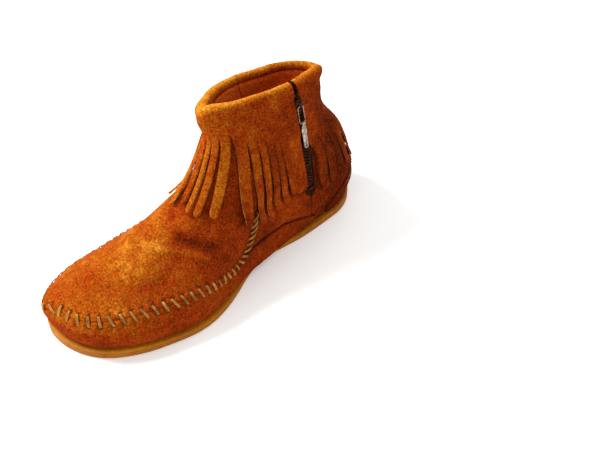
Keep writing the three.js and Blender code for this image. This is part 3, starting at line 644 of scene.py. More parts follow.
def seam_relief(points):
    """Puffs beside the seam, pulled in under each stitch and at its needle holes."""
    centre, along, across, _ = STITCHES
    total = []
    for part in np.array_split(points, math.ceil(len(points) / POINTS_AT_ONCE)):
        delta = part[:, None, :] - centre[None]
        a = (delta * along[None]).sum(-1)
        b = (delta * across[None]).sum(-1)
        reach = np.linalg.norm(delta, axis=-1)
        gap = np.abs(b[np.arange(len(part)), reach.argmin(1)])
        puff = 0.8 * bump(gap - 2.4, 2.2) * (reach.min(1) < 14)
        groove = -0.7 * bump(a, 1.1) * smoothstep(6.2, 4.0, np.abs(b))
        holes = -0.8 * bump(np.hypot(a, np.abs(b) - STITCH_REACH), 1.3)
        ripple = -0.28 * bump(a, 1.7) * smoothstep(12, 5, np.abs(b))
        total.append(puff + (groove + holes + ripple).sum(1))
    return np.concatenate(total)


# Soft folds across the vamp: the [level, angle] points each one runs through, height and half
# width in mm. Hollows have a negative height.
CREASES = [
    ([(3.4, 174), (3.38, 160), (3.34, 146.5), (3.16, 132), (2.96, 122)], 1.4, 2.6),
    ([(3.54, 150), (3.42, 137), (3.16, 121)], -2.0, 4.6),
    ([(3.9, 162), (3.82, 152)], 1.4, 4.5),
    ([(2.94, 184), (2.98, 165), (2.86, 146)], 0.8, 8),
    ([(2.62, 164), (2.6, 148), (2.66, 134)], -0.8, 5),
    ([(3.2, 192), (2.9, 226)], 0.8, 6),
    ([(3.5, 190), (3.1, 222)], -0.8, 6),
    ([(2.3, 34), (2.5, 0), (2.7, -30)], -0.5, 4),
]


def crease_relief(points):
    """Height of the soft folds at points."""
    total = np.zeros(len(points))
    for course, height, width in CREASES:
        levels, angles = np.array(course, float).T
        knots = surface(levels, angles)
        apart = np.full(len(points), np.inf)
        for a, b in zip(knots[:-1], knots[1:]):
            t = np.clip((points - a) @ (b - a) / ((b - a) @ (b - a)), 0, 1)
            apart = np.minimum(apart, np.linalg.norm(points - a - t[:, None] * (b - a), axis=1))
        total += height * bump(apart, width)
    return total


def waist(phi):
    """1 in the middle of the inner waist, where the wrap bulges and the sole is tucked in under it."""
    return bump(fold(phi) - 79, 12.5) * smoothstep(-0.2, 0.4, np.sin(np.radians(phi)))


def upper_relief(v, phi, points):
    """Puckers along the seam, folds and slight wrinkles of the leather, calmer just above the sole."""
    wrinkle = 0.5 * lumps(points, 34, 1) + 0.2 * lumps(points, 13, 2) + 0.08 * lumps(points, 5, 3)
    calm = smoothstep(0.1, 0.7, v)
    roll = WAIST_ROLL * waist(phi) * bump(v - 0.3, 0.42)
    return seam_relief(points) + crease_relief(points) + wrinkle * mix(0.35, 1, calm) + roll


def wrap_relief(v, phi, points):
    """Towards the heel the wrap's top edge is a raised fold over the quarter."""
    lap = smoothstep(100, 92, fold(phi)) * bump(seam_level(phi) - 0.14 - v, 0.18)
    return upper_relief(v, phi, points) + 1.2 * lap


def quarter_relief(v, phi, points):
    """The quarter dives in behind the fold of the wrap."""
    dive = bump(v - quarter_low(phi), 0.2) * smoothstep(50, 54, fold(phi))
    return upper_relief(v, phi, points) - dive


# ---- upper leather
BOTTOM = 0.05  # level of the leather's lower edges, just above the feather line
QUARTER_TOP = 5.72  # level of the upper edges inside the cuffs
WRAP_END = 53.5  # angle from the heel at which the wrap stops
COUNTER_END = 46  # angle from the heel at which the heel counter stops
SEAM_LAP = 0.004  # how far the two edges at the whip stitch lap, in levels
WAIST_ROLL = 0.6  # how far the wrap bulges at the inner waist


def seam_level(phi):
    """Level of the wrap's top edge: on the inner side it dips at the waist."""
    medial = [
        (52, 0.35), (62, 0.8), (70, 1.3), (80, 1.5), (88, 1.55), (93, 1.28), (98, 1.42), (103, 1.7),
        (108, 1.9), (114, 2.0),
    ]
    lateral = [
        (52, 0.35), (64, 0.75), (78, 1.0), (101, 1.33), (109, 1.08), (120, 0.85), (144, 0.83), (160, 1.0),
        (169, 1.38), (178, 1.9),
    ]
    sides = [np.interp(fold(phi), *zip(*course)) for course in (medial, lateral)]
    return np.where(np.sin(np.radians(phi)) >= 0, *sides)


def counter_top(phi):
    """Level of the heel counter's top edge; it runs out into the feather line at its ends."""
    return np.interp(fold(phi), [0, 24, 38, 46, 46.3], [2.3, 2.2, 1.3, 0.4, -0.5])


def quarter_low(phi):
    """The quarters stand on the wrap's top edge, and behind it on the sole and the heel counter."""
    low = np.where(fold(phi) < WRAP_END - 0.2, BOTTOM, seam_level(phi) - SEAM_LAP)
    return np.maximum(low, counter_top(fold(phi) - 1.2) + 0.04)


def vamp_edge(v):
    """Angle of the vamp's inner edge."""
    return np.interp(v, VAMP_EDGE_LEVELS, VAMP_EDGE_ANGLES)


def zip_edge(v, side):
    """The leather's edge beside the zip; below the zip the edges meet."""
    opening = mix(0.3, ZIP_OPENING, smoothstep(2.2, 2.55, v))
    return angle_at(v, ZIP_LINE + side * opening)


def build_upper():
    bottom, top = constant(BOTTOM), constant(QUARTER_TOP)
    flush, proud = constant(0), constant(-0.55)
    wrap_top = lambda phi: seam_level(phi) + SEAM_LAP
    vamp_low = lambda phi: seam_level(phi) - SEAM_LAP
    zip_front = lambda v: zip_edge(v, 1)
    zip_rear = lambda v: zip_edge(v, -1)
    wrap_ends = (constant(WRAP_END), constant(360 - WRAP_END))
    medial_ends = (zip_front, lambda v: vamp_edge(v) - 0.2)
    lateral_ends = (constant(VAMP_LATERAL + 0.4), constant(360 + REAR_LATERAL - 0.4))
    pieces = [
        ("toe_wrap", (bottom, wrap_top, *wrap_ends), flush, wrap_relief),
        ("vamp_plug", (vamp_low, top, vamp_edge, constant(VAMP_LATERAL)), covered_inset, upper_relief),
        ("quarter_medial", (quarter_low, top, *medial_ends), covered_inset, quarter_relief),
        ("quarter_rear", (quarter_low, top, constant(REAR_LATERAL), zip_rear), covered_inset, quarter_relief),
        ("quarter_lateral", (quarter_low, top, *lateral_ends), covered_inset, upper_relief),
    ]
    for node, edges, depth, relief in pieces:
        panel(edges, depth, LEATHER, relief).build(f"{node}_suede", node, [upper_suede], "suede")
    edges = (bottom, counter_top, constant(-COUNTER_END), constant(COUNTER_END))
    counter = panel(edges, proud, COUNTER_LEATHER, upper_relief)
    counter.build("heel_counter_suede", "heel_counter_cover", [upper_suede], "suede")


def lining_depth(v, phi):
    """How deep the heel lining lies, further in above the heel counter."""
    return mix(LEATHER + 1.8, COVERED_INSET + LEATHER + 0.35, smoothstep(2.1, 2.8, v))


def build_inside():
    heel_edges = (constant(0.45), constant(3.6), constant(-40), constant(40))
    heel = panel(heel_edges, lining_depth, LINING_LEATHER, cell=2.0, lip=0.5)
    heel.build("heel_lining_leather", "heel_lining", [lining], "lining")
    clear = ZIP_OPENING + 4.4  # from the zip's line to the facings' ends
    ends = {
        "front": (lambda v: angle_at(v, ZIP_LINE + clear), constant(261)),
        "rear": (constant(-97.6), lambda v: angle_at(v, ZIP_LINE - clear)),
    }
    for name, sides in ends.items():
        edges = (constant(4.4), constant(5.4), *sides)
        depth = constant(COVERED_INSET + LEATHER + 1.1)
        sheet = panel(edges, depth, LINING_LEATHER, cell=1.6, lip=0.4)
        sheet.build(f"collar_facing_{name}_leather", f"collar_facing_{name}", [inner_suede], "lining")
    for node in ("insole_board", "heel_stiffener"):
        frame["nodes"][node].data.materials.clear()
        frame["nodes"][node].data.materials.append(board)


# ---- fringed cuffs
# Angles of the slits, and the [angle, level] of each strip's tip.
FRONT_SLITS = [91, 98.5, 105.5, 113.5, 122, 132, 146, 161, 173.5, 184, 194, 205, 215, 224, 233, 241, 249, 256]
FRONT_TIPS = [
    (69, 2.92), (73, 3.0), (76.2, 2.85), (79.4, 2.75), (83.4, 2.62), (90, 2.85), (107, 3.35), (138, 3.88),
    (153, 3.95), (163, 4.0), (173, 4.1), (188, 4.0), (203, 3.95), (221, 3.75), (240, 3.45), (258, 3.05),
    (269, 2.8), (278, 2.7), (285, 2.55),
]
REAR_SLITS = [-90, -82.5, -74.5, -66, -57, -47.5, -38, -28, -17, -6, 6, 17, 28, 38.5, 48, 57.5, 67]
REAR_TIPS = [
    (-70.5, 2.5), (-66, 2.4), (-61, 2.3), (-56, 2.35), (-50.5, 2.25), (-45, 2.35), (-37.5, 2.4), (-28, 2.45),
    (-19.5, 2.4), (-9.5, 2.5), (0, 2.4), (10, 2.5), (20, 2.42), (29, 2.47), (38, 2.43), (45.5, 2.4),
    (50.5, 2.25), (54.5, 2.35),
]
FRONT_FLARE = 2.6  # how far the strips' tips stand off at most
REAR_FLARE = 0.3
# A strip's columns over its half width, and how thick its cut leather is there.
STRIP_COLUMNS = np.array([-1, -0.9, -0.7, -0.35, 0, 0.35, 0.7, 0.9, 1])
STRIP_ROUNDING = np.array([0.5, 0.86, 1, 1.06, 1.1, 1.06, 1, 0.86, 0.5])
STRIP_ROWS = 26
BAND_ROWS = 22  # rows of points up the band; the roll's rows and the turned-in leather's follow
ROLL_STEPS = 16
ROLL_TURN = math.radians(215)  # how far the roll curls before its leather hangs down inside
CREST_ROW = 28  # the row along the top of the roll


def fringe_root(phi):
    """Level at which the slits end."""
    return np.interp(fold(phi), [30, 66, 86, 110, 150, 180], [4.45, 4.6, 5.0, 5.22, 5.38, 5.3])


class Strip:
    """One hand-cut strip: its columns over the cuff, its tip, and how it hangs apart from the others."""

    def __init__(self, first, last, tip, flare, rng):
        self.tip_angle, self.tip_level = tip
        self.root = 0.5 * (first + last)
        self.columns = self.root + (last - first) / 2 * STRIP_COLUMNS
        self.root_level = float(fringe_root(self.root))
        ends = surface(np.full(2, self.root_level), np.array([first, last]))
        self.width = float(np.linalg.norm(ends[1] - ends[0]))
        self.flare = rng.uniform(0.4, 1) * flare * (0.5 if self.root > 185 else 1)
        self.shade = rng.uniform(-0.4, 0.6)
        self.slit = rng.uniform(0.25, 0.6)
        self.twist = math.radians(rng.uniform(-9, 9))
        self.sway = rng.uniform(-0.5, 0.5)
        self.narrowing = rng.uniform(0.9, 1.0)
        self.cut = rng.uniform(-1, 1)

    def centre_line(self, down, zip_side):
        """Centre points and the directions across and outward, from the root to the tip."""
        v = mix(self.root_level, self.tip_level, down)
        phi = mix(self.root, self.tip_angle, down**0.95)
        keep_off = CUFF_OPENING + 0.2 + self.width / 2
        if zip_side > 0:
            phi = np.maximum(phi, angle_at(v, ZIP_LINE + keep_off))
        elif self.root > 40:
            phi = np.minimum(phi, angle_at(v, ZIP_LINE - keep_off))
        point, _, along, out = surface_frame(v, phi)
        across = unit(np.cross(out, unit(np.gradient(point, axis=0))))
        across = across * np.sign((across * along).sum(-1, keepdims=True))
        clearance = np.maximum(0, FRINGE_LEATHER + 0.4 - covered_inset(v, phi))
        lift = clearance * smoothstep(0, 0.25, down) + self.flare * down**2
        lift = lift + 0.35 * np.sin(down * 5 + self.cut * 3) * smoothstep(0.1, 0.4, down)
        turn = self.twist * smoothstep(0.15, 1, down)
        sideways = self.sway * np.sin(down * math.pi)
        centre = point + out * lift[:, None] + across * sideways[:, None]
        cos, sin = np.cos(turn)[:, None], np.sin(turn)[:, None]
        return centre, across * cos + out * sin, out * cos - across * sin

    def half_width(self, down):
        """Half width from root to tip, which is blunt and rounded."""
        body = self.width / 2 * mix(1.0, self.narrowing, down)
        gap = self.slit * smoothstep(0, 0.2, down)
        tip = np.sqrt(1 - (np.clip(down - 0.93, 0, 0.07) / 0.07) ** 2 * 0.8)
        wobble = 1 + 0.03 * np.sin(down * 9 + self.cut * 4)
        return (body - gap) * tip * wobble

    def add_to(self, shape, root_points, root_outs, zip_side):
        """Adds the strip, which leaves the band's lowest row and takes its own course below it."""
        down = np.linspace(0, 1, STRIP_ROWS + 1)
        centre, across, out = self.centre_line(down, zip_side)
        x = STRIP_COLUMNS[None, :] * self.half_width(down)[:, None]
        curl = out * (0.35 * self.cut * smoothstep(0.2, 1, down))[:, None]
        middle = centre[:, None] + across[:, None] * x[..., None]
        middle = middle - curl[:, None] * (STRIP_COLUMNS**2)[None, :, None]
        start = smoothstep(0.16, 0, down)[:, None, None]
        middle = middle + (root_points[None] - middle[:1]) * start
        facing = unit(mix(np.broadcast_to(out[:, None], middle.shape), root_outs[None], start))
        rounding = mix(STRIP_ROUNDING[None, :], 1.0, start[..., 0])[..., None]
        outer = middle - facing * (FRINGE_LEATHER * 0.5 * (1 - rounding))
        inner = middle - facing * (FRINGE_LEATHER * 0.5 * (1 + rounding))
        # painted light from the facing, plus the strip's random tone; its underside gets painted shade
        tone = painted_light_tone(middle.reshape(-1, 3), facing.reshape(-1, 3))
        tone_shift = self.shade * np.repeat(smoothstep(0, 0.3, down), len(STRIP_COLUMNS))
        shape.add_sheet(outer, inner, 0, np.concatenate([tone + tone_shift, tone - 0.8]), flip=True)


def front_share(phi):
    """1 round the front outer corner of the rim, 0 at the back."""
    return bump((phi + 360) % 360 - 192, 42)


def near_share(phi):
    """1 along the inner side of the rim."""
    return smoothstep(0, 40, phi) * smoothstep(180, 140, phi)


def roll_radius(phi):
    """Radius of the padded roll round the rim."""
    return ROLL_RADIUS + ROLL_FRONT * front_share(phi) + ROLL_NEAR * near_share(phi)


def rim_level(phi):
    """Level at which the band turns into the roll: lower round the front, higher at the back."""
    back = 0.12 * smoothstep(0.1, 0.9, np.cos(np.radians(phi + 62)))
    return 6 - 0.12 * bump((phi + 360) % 360 - 182, 36) + back + 0.06 * near_share(phi)


def band_relief(v, phi, points):
    """Soft unevenness of the band, a tuck under the padded roll and a swell at the rim."""
    front = bump((phi + 360) % 360 - 220, 45)
    tuck = -0.7 * bump(v - 5.72, 0.13) * (1 - front)
    swell = 0.9 * smoothstep(5.7, 5.95, v) * (1 - front) + 3.4 * front * bump(v - 5.48, 0.3)
    return (0.5 * lumps(points, 22, 5) + 0.2 * lumps(points, 8, 6)) * smoothstep(5.0, 5.4, v) + tuck + swell


def band_and_rim(strips, columns, angles):
    """Points and outward directions of the band, the padded roll and the leather turned in under it."""
    strip_root = np.repeat([strip.root_level for strip in strips], len(STRIP_COLUMNS))
    near_edge = np.tile(np.abs(STRIP_COLUMNS), len(strips))
    root = mix(strip_root, fringe_root(columns), smoothstep(0.7, 1, near_edge))
    top_level = rim_level(angles(np.full((1, len(columns)), 6.0))[0])
    level = mix(root[None, :], top_level[None, :], np.linspace(0, 1, BAND_ROWS)[:, None])
    phi = angles(level)
    point, up, _, out = surface_frame(level.ravel(), phi.ravel())
    point = point + out * band_relief(level.ravel(), phi.ravel(), point)[:, None]
    point, up, out = [grid.reshape(*level.shape, 3) for grid in (point, up, out)]
    rows, facing = [point], [out]
    top, up, out, phi = point[-1], up[-1], out[-1], phi[-1]
    radius = roll_radius(phi)
    plump = (radius * (1 + 0.06 * lumps(top, 26, 8)))[:, None]
    for turn in np.linspace(0, ROLL_TURN, ROLL_STEPS + 1)[1:]:
        radial = out * math.cos(turn) + up * math.sin(turn)
        rows.append((top - out * radius[:, None] + radial * plump)[None])
        facing.append(radial[None])
    for step in np.linspace(0.15, 1, 7):
        point, out = skin(top_level - ROLL_INNER_DROP * step / LEVEL_HEIGHT, phi)
        depth = mix(radius * (1 - math.cos(ROLL_TURN)), 2 * radius + ROLL_INNER_EASE, step)
        rows.append((point - out * (depth + 0.35 * lumps(point, 16, 9))[:, None])[None])
        facing.append(-out[None])
    return np.concatenate(rows), np.concatenate(facing)


def cuff(name, node, slits, tips, flare, start, end, zip_side):
    """One fringed cuff; start and end give the angles of its ends at a level."""
    rng = np.random.default_rng(SCRIPT_SEED + len(name))
    middle = np.array([5.0])
    limits = [float(start(middle)[0]), *slits, float(end(middle)[0])]
    strips = [Strip(a, b, tip, flare, rng) for a, b, tip in zip(limits[:-1], limits[1:], tips)]
    columns = np.concatenate([strip.columns for strip in strips])
    share = (columns - limits[0]) / (limits[-1] - limits[0])
    outer, facing = band_and_rim(strips, columns, lambda v: mix(start(v), end(v), share[None, :]))
    row = np.arange(len(outer))[:, None]
    # tone: painted light from the facing and a painted highlight along the roll's crest; the turned-in
    # leather gets a fixed tone and the inner face painted shade
    tone = painted_light_tone(outer.reshape(-1, 3), facing.reshape(-1, 3)).reshape(outer.shape[:2])
    tone = np.where(row >= BAND_ROWS - 1 + ROLL_STEPS, 0.4, tone + 1.3 * bump(row - CREST_ROW, 5)).ravel()
    leaf = np.where(row[:-1] >= BAND_ROWS - 2 + ROLL_STEPS, LEAF, 0)
    leaf = np.tile(np.repeat(leaf, len(share) - 1), 2)
    shape = Shape()
    tones = np.concatenate([tone, np.full(len(tone), -0.6)])
    shape.add_sheet(outer, outer - facing * FRINGE_LEATHER, leaf, tones)
    for k, strip in enumerate(strips):
        span = slice(k * len(STRIP_COLUMNS), (k + 1) * len(STRIP_COLUMNS))
        strip.add_to(shape, outer[0, span], facing[0, span], zip_side)
    shape.build(name, node, [fringe_suede, cut_edge, inner_suede], "fringe_suede", weld=2e-5)


def build_cuffs():
    gap = lambda v: mix(CUFF_OPENING, RIM_OPENING, smoothstep(5.5, 5.85, v))
    zip_front = lambda v: angle_at(v, ZIP_LINE + gap(v))
    zip_rear = lambda v: angle_at(v, ZIP_LINE - gap(v))
    seam_front, seam_rear = constant(CUFF_SEAM - 0.4), constant(CUFF_SEAM + 0.4 - 360)
    cuff("cuff_front_fringe", "cuff_front", FRONT_SLITS, FRONT_TIPS, FRONT_FLARE, zip_front, seam_front, 1)
    cuff("cuff_rear_fringe", "cuff_rear", REAR_SLITS, REAR_TIPS, REAR_FLARE, seam_rear, zip_rear, -1)


# ---- thread
def build_whip_stitch():
    threads, holes = Shape(), Shape()
    rng = np.random.default_rng(SCRIPT_SEED + 3)
    arch = [(-1, -1.4), (-0.96, 0.1), (-0.6, 0.95), (0, 1.2), (0.6, 0.95), (0.96, 0.1), (1, -1.4)]
    for centre, along, across, out in zip(*STITCHES):
        slant = STITCH_SLANT * rng.uniform(0.5, 1.5) + 1.4 * smoothstep(6, -22, centre[0]) * (centre[1] < -60)
        reach = STITCH_REACH * mix(1, 0.8, smoothstep(-18, -28, centre[0]))
        for side in (-0.5, 0.5):
            path = [
                centre + across * (reach * s) + along * (side * (1 - 0.35 * s * s) + slant * s) + out * h
                for s, h in arch
            ]
            tube(threads, smooth_path(path, 15), THREAD, 7)
        # a dark plug in each needle hole stands in for the hole's shade
        for end in (-1, 1):
            spot = centre + across * reach * 1.1 * end + along * slant * 1.1 * end
            disc = [spot + out * (-0.5), spot + out * (0.12 if end > 0 else -0.1)]
            tube(holes, disc, [0.85, 0.6], 10)
    threads.build("whip_stitch_thread", "whip_stitch", [thread], "thread")
    holes.build("needle_holes", None, [painted_hole_shade], "suede")


def sewn_line(name, node, courses, heights):
    """Short stitches, each on a course of levels and angles and rising to the heights given along it."""
    shape = Shape()
    for course in courses:
        point, out = skin(*course)
        tube(shape, point + out * np.array(heights)[:, None], FINE_THREAD, 6)
    shape.build(name, node, [thread], "thread")


def build_sewn_lines():
    angles = [np.linspace(start, start + 1.7, 5) for start in np.arange(-33, 33, 2.6)]
    levels = [np.linspace(start, start + 0.06, 5) for start in np.arange(5.42, 5.95, 0.09)]
    counter = [(counter_top(at) - 0.18, at) for at in angles]
    cuff_seam = [(at, np.full(5, float(CUFF_SEAM))) for at in levels]
    sewn_line("counter_stitch_thread", "counter_stitch", counter, [0.5, 1.0, 1.1, 1.0, 0.5])
    sewn_line("cuff_seam_thread", "cuff_seam_stitch", cuff_seam, [0.1, 0.75, 0.9, 0.75, 0.1])


# ---- sole and footbed
OUTLINE_POINTS = 160
OUTLINE_ANGLES = np.arange(OUTLINE_POINTS) * 360 / OUTLINE_POINTS
# The sole's side as [distance beyond the overhang, height], with a groove about half way up.
SOLE_PROFILE = [
    (-1.3, 0.0), (-0.5, 0.35), (-0.1, 1.1), (-0.25, 2.2), (-0.45, 3.6), (-0.45, 4.6), (-0.7, 4.95),
    (-0.45, 5.3), (-0.2, 6.4), (0, 7.6), (-0.15, 8.35), (-0.6, 8.8), (-1.3, 9.0), (-2.2, 8.9),
]
END_ROUND = 28  # how far the middle line stops short of the heel and the toe
RIB_PITCH = 7  # of the tread's wavy ribs
RIB_DEPTH = 0.9
TREAD_RINGS = 26
PLAIN_RINGS = 3  # the outermost ones, which have no ribs


def sole_outline(outset, height, dipped=False):
    """The feather line moved outward. A dipped outline is scaled down with the feather line's dip."""
    point, out = skin(np.zeros(OUTLINE_POINTS), OUTLINE_ANGLES)
    point = point + unit(out * [1, 1, 0]) * np.reshape(outset, (-1, 1))
    point[:, 2] = height * (1 - dipped * feather_dip(OUTLINE_ANGLES) / SOLE_HEIGHT)
    return point


def loft(shape, rings, lids=()):
    """Skin through rings that run clockwise as seen from above, lowest first, and its lids."""
    faces = grid_faces(len(rings) - 1, len(rings[0]), closed=True)
    shape.add(np.concatenate(rings), [*faces, *lids])


def spread(outer, shares):
    """Rings that shrink from an outline towards the line down its middle, which bends with the toe."""
    y = outer[:, 1]
    y = np.clip(y, y.min() + END_ROUND, y.max() - END_ROUND)
    middle = np.stack([-2.0 - 6.0 * smoothstep(20, -110, y), y, outer[:, 2]], -1)
    return [mix(outer, middle, share) for share in shares]


def build_sole():
    tuck = -SOLE_TUCK * waist(OUTLINE_ANGLES)
    rings = [sole_outline(SOLE_OVERHANG + x + tuck, z, dipped=True) for x, z in SOLE_PROFILE]
    rings.append(sole_outline(-LEATHER - 0.5, 8.9, dipped=True))
    top = spread(sole_outline(-LEATHER - 0.9, SOLE_HEIGHT - 0.2), np.linspace(0, 1, 6))
    bottom = spread(sole_outline(SOLE_OVERHANG - 1.3 + tuck, 0.0), np.linspace(1, 0, TREAD_RINGS))
    for line in bottom[:-PLAIN_RINGS]:
        wave = np.sin(line[:, 1] * 2 * math.pi / RIB_PITCH + 0.9 * np.sin(line[:, 0] / 8))
        line[:, 2] = RIB_DEPTH * (1 - smoothstep(0.2, 0.6, wave))
    shape = Shape()
    loft(shape, bottom[:-1] + rings + top)
    shape.build("outsole_gum", "outsole", [gum], "gum_sole", weld=1e-5)


FOOTBED_LOW = SOLE_HEIGHT + 2.25  # height of the footbed's underside, on the insole board
PAD_LOW = FOOTBED_LOW + 3.4
PAD_POINTS = 56
# The heel pad's side as [distance in from its edge, height].
PAD_PROFILE = [(18, 0), (0.3, 0), (0, 0.3), (0, 1.0), (0.5, 1.5), (2, 1.85), (7, 2.0), (13, 1.9), (18.5, 1.8)]


def build_footbed():
    side = [(-5.3, 0), (-5.3, 2.0), (-5.8, 2.7)]
    rings = [sole_outline(outset, FOOTBED_LOW + z) for outset, z in side]
    crown = spread(sole_outline(-6.6, FOOTBED_LOW + 3.0), np.linspace(0, 1, 14))
    for line, share in zip(crown, np.linspace(0, 1, 14)):
        hollow = bump(line[:, 1] - 80, 40) + 0.8 * bump(line[:, 1] + 60, 40)
        line[:, 2] -= 0.5 * hollow * share
    shape = Shape()
    loft(shape, spread(rings[0], np.linspace(1, 0, 4)) + rings[1:] + crown)
    bed = shape.build("footbed_leather", "footbed", [sock], "sock", weld=1e-5)


def build_heel_pad():
    angle = around(PAD_POINTS)
    rings = []
    for inset, height in PAD_PROFILE:
        x = SHIFT[0] + (20 - inset) * np.sin(angle) * (1 - 0.08 * np.cos(angle))
        y = SHIFT[1] - 43 + (31 - inset) * np.cos(angle)
        rings.append(np.stack([x, y, np.full(PAD_POINTS, PAD_LOW + height)], -1))
    low_lid = np.arange(PAD_POINTS)
    top_lid = low_lid[::-1] + (len(rings) - 1) * PAD_POINTS
    pad = Shape()
    loft(pad, rings, [low_lid, top_lid])
    cushion = pad.build("heel_pad_cover", "heel_pad", [foam], "foam")


# ---- zip
JOINTS = {joint["name"]: joint for joint in frame["record"]["behaviour"]["joints"]}
LINK_OFFSET = 3.4  # height of the link's wire above the foot of the teeth
LINK_PIVOT = -0.4  # the link's hinge, measured up from the slider's middle
LINK_LOW = -13.8  # the link's other end
LINK_HALF_WIDTH = 2.4
LINK_TURN = 1.9  # radius of its corners
LINK_WIRE = 0.5  # radius of its wire
ZIP_UP = -np.array(JOINTS["zip_slide"]["axis"])
ZIP_SIDE = np.array([0, 1.0, 0])
ZIP_OUT = np.cross(ZIP_SIDE, ZIP_UP)
ZIP_AXES = np.stack([ZIP_OUT, ZIP_SIDE, ZIP_UP])
ZIP_TOP = np.array(JOINTS["pull_link_hinge"]["pos_m"]) / MM - ZIP_OUT * LINK_OFFSET - ZIP_UP * LINK_PIVOT
TOOTH_PITCH = 2.5
TEETH_ABOVE = 5  # length of the teeth above the slider's middle when it is up


def in_zip(points):
    """Points given outward, towards the heel and up the zip, placed on the boot."""
    return ZIP_TOP + np.asarray(points, float) @ ZIP_AXES


def chamfered_block(shape, x, y, z, chamfer):
    """A block between two distances each way in the zip's directions, its edges cut off."""
    low, high = np.sort([x, y, z]).T
    work = bmesh.new()
    bmesh.ops.create_cube(work, size=2)
    for vert in work.verts:
        vert.co = Vector(mix(low, high, (np.array(vert.co) + 1) / 2))
    bmesh.ops.bevel(work, geom=list(work.edges), offset=chamfer, segments=1, affect="EDGES")
    work.verts.index_update()
    points = in_zip([list(vert.co) for vert in work.verts])
    shape.add(points, [[vert.index for vert in face.verts] for face in work.faces])
    work.free()


def refined(node, body, bevel, kind, metal):
    """A copy of a hard CAD piece with its edges rounded."""
    work = bmesh.new()
    work.from_mesh(frame["nodes"][node].data)
    bmesh.ops.remove_doubles(work, verts=work.verts, dist=1e-7)
    bmesh.ops.dissolve_limit(work, angle_limit=math.radians(4), verts=work.verts, edges=work.edges)
    sharp = [edge for edge in work.edges if len(edge.link_faces) == 2 and edge.calc_face_angle() > 0.6]
    bmesh.ops.bevel(work, geom=sharp, offset=bevel * MM, segments=2, affect="EDGES", clamp_overlap=True)
    mesh = bpy.data.meshes.new(f"{node}_{kind}")
    work.to_mesh(mesh)
    work.free()
    mesh.materials.clear()
    mesh.materials.append(metal)
    mesh.polygons.foreach_set("material_index", [0] * len(mesh.polygons))
    mesh.shade_smooth()
    mesh.set_sharp_from_angle(angle=math.radians(40))
    add_piece(mesh.name, mesh, node, body)


def build_tapes():
    depth = constant(COVERED_INSET + LEATHER + 0.35)
    for name, near, far in (("front", 0.9, 8.6), ("rear", -8.6, -0.9)):
        first = lambda v, near=near: angle_at(v, ZIP_LINE + near)
        second = lambda v, far=far: angle_at(v, ZIP_LINE + far)
        sheet = panel((constant(2.78), constant(5.7), first, second), depth, 0.55, cell=1.5, lip=0.3)
        sheet.build(f"zip_tape_{name}_woven", f"zip_tape_{name}", [tape], "zip_tape")


def build_teeth():
    length = (ZIP_TOP[2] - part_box("zip_teeth_rear")[0].z / MM) / ZIP_UP[2]
    count = round((length + TEETH_ABOVE) / TOOTH_PITCH)
    for name, side in (("front", -1), ("rear", 1)):
        teeth = Shape()
        stagger = TOOTH_PITCH / 2 if side > 0 else 0
        for z in -length + stagger + TOOTH_PITCH * np.arange(count):
            chamfered_block(teeth, [0.1, 1.4], [-0.45 * side, 3.0 * side], [z, z + 1.12], 0.22)
        chamfered_block(teeth, [-0.05, 0.9], [2.5 * side, 3.4 * side], [-length, TEETH_ABOVE], 0.2)
        teeth.build(f"zip_teeth_{name}_brass", f"zip_teeth_{name}", [brass], "zip_brass", smooth=False)


def build_slider_and_pull():
    for node in ("zip_top_stop_front", "zip_top_stop_rear", "zip_bottom_stop"):
        refined(node, "boot", 0.3, "brass", brass)
    refined("zip_slider", "slider", 0.18, "brass", brass)
    refined("zip_pull_tab", "pull_tab", 0.2, "steel", steel)
    y = LINK_HALF_WIDTH - LINK_TURN
    high, low = LINK_PIVOT - LINK_TURN, LINK_LOW + LINK_TURN
    path = []
    for y, z, first in [(y, high, 90), (y, low, 0), (-y, low, -90), (-y, high, -180)]:
        for angle in np.radians(first - np.array([0, 22.5, 45, 67.5, 90])):
            path.append((LINK_OFFSET, y + LINK_TURN * math.cos(angle), z + LINK_TURN * math.sin(angle)))
    link = Shape()
    tube(link, in_zip(path), LINK_WIRE, 10, closed=True)
    link.build("zip_pull_link_steel", "zip_pull_link", [steel], "pull_steel", body="pull_link")


# ---- beads and feathers
STRAND_GAP = 8
STRAND_TILT = 10  # degrees from hanging straight down
BEAD_DROP = 8.6  # how far the bead's middle hangs below the strand's pivot
FEATHER_DROP = 13.0
FEATHER_LENGTH = 24
BARBS = 46


def strand_axes():
    """Origin and axes of the hanging strands: outward, along the fringe and up."""
    point, out = skin(np.array([5.02]), np.array([254.0]))
    outward = unit(out[0] * [1, 1, 0])
    side = np.cross([0, 0, 1.0], outward)
    tilt = math.radians(STRAND_TILT)
    lean_out = outward * math.cos(tilt) + np.array([0, 0, math.sin(tilt)])
    lean_up = np.cross(lean_out, side)
    return point[0] + out[0] * 4.4, np.stack([lean_out, side, lean_up])


def build_ornament():
    origin, axes = strand_axes()
    hang = lambda points: origin + np.asarray(points, float) @ axes
    keeper = Shape()
    arch = [[-3.1, -4.2, 1.5], [-2.4, -3.4, 2.6], [-2.2, 0, 3.1], [-2.4, 3.4, 2.6], [-3.1, 4.2, 1.5]]
    tube(keeper, hang(smooth_path(arch, 22)), 1.0, 8, flat=0.7)
    keeper.build("thong_keeper_suede", "thong_keeper", [thong_suede], "thong")
    rng = np.random.default_rng(SCRIPT_SEED + 5)
    for label, side in (("front", 1), ("rear", -1)):
        body = f"strand_{label}"
        y = side * STRAND_GAP / 2
        add_thong(hang, y, body, label)
        add_bead(hang, y, body, label)
        add_feather(hang, y, side, body, label, rng)


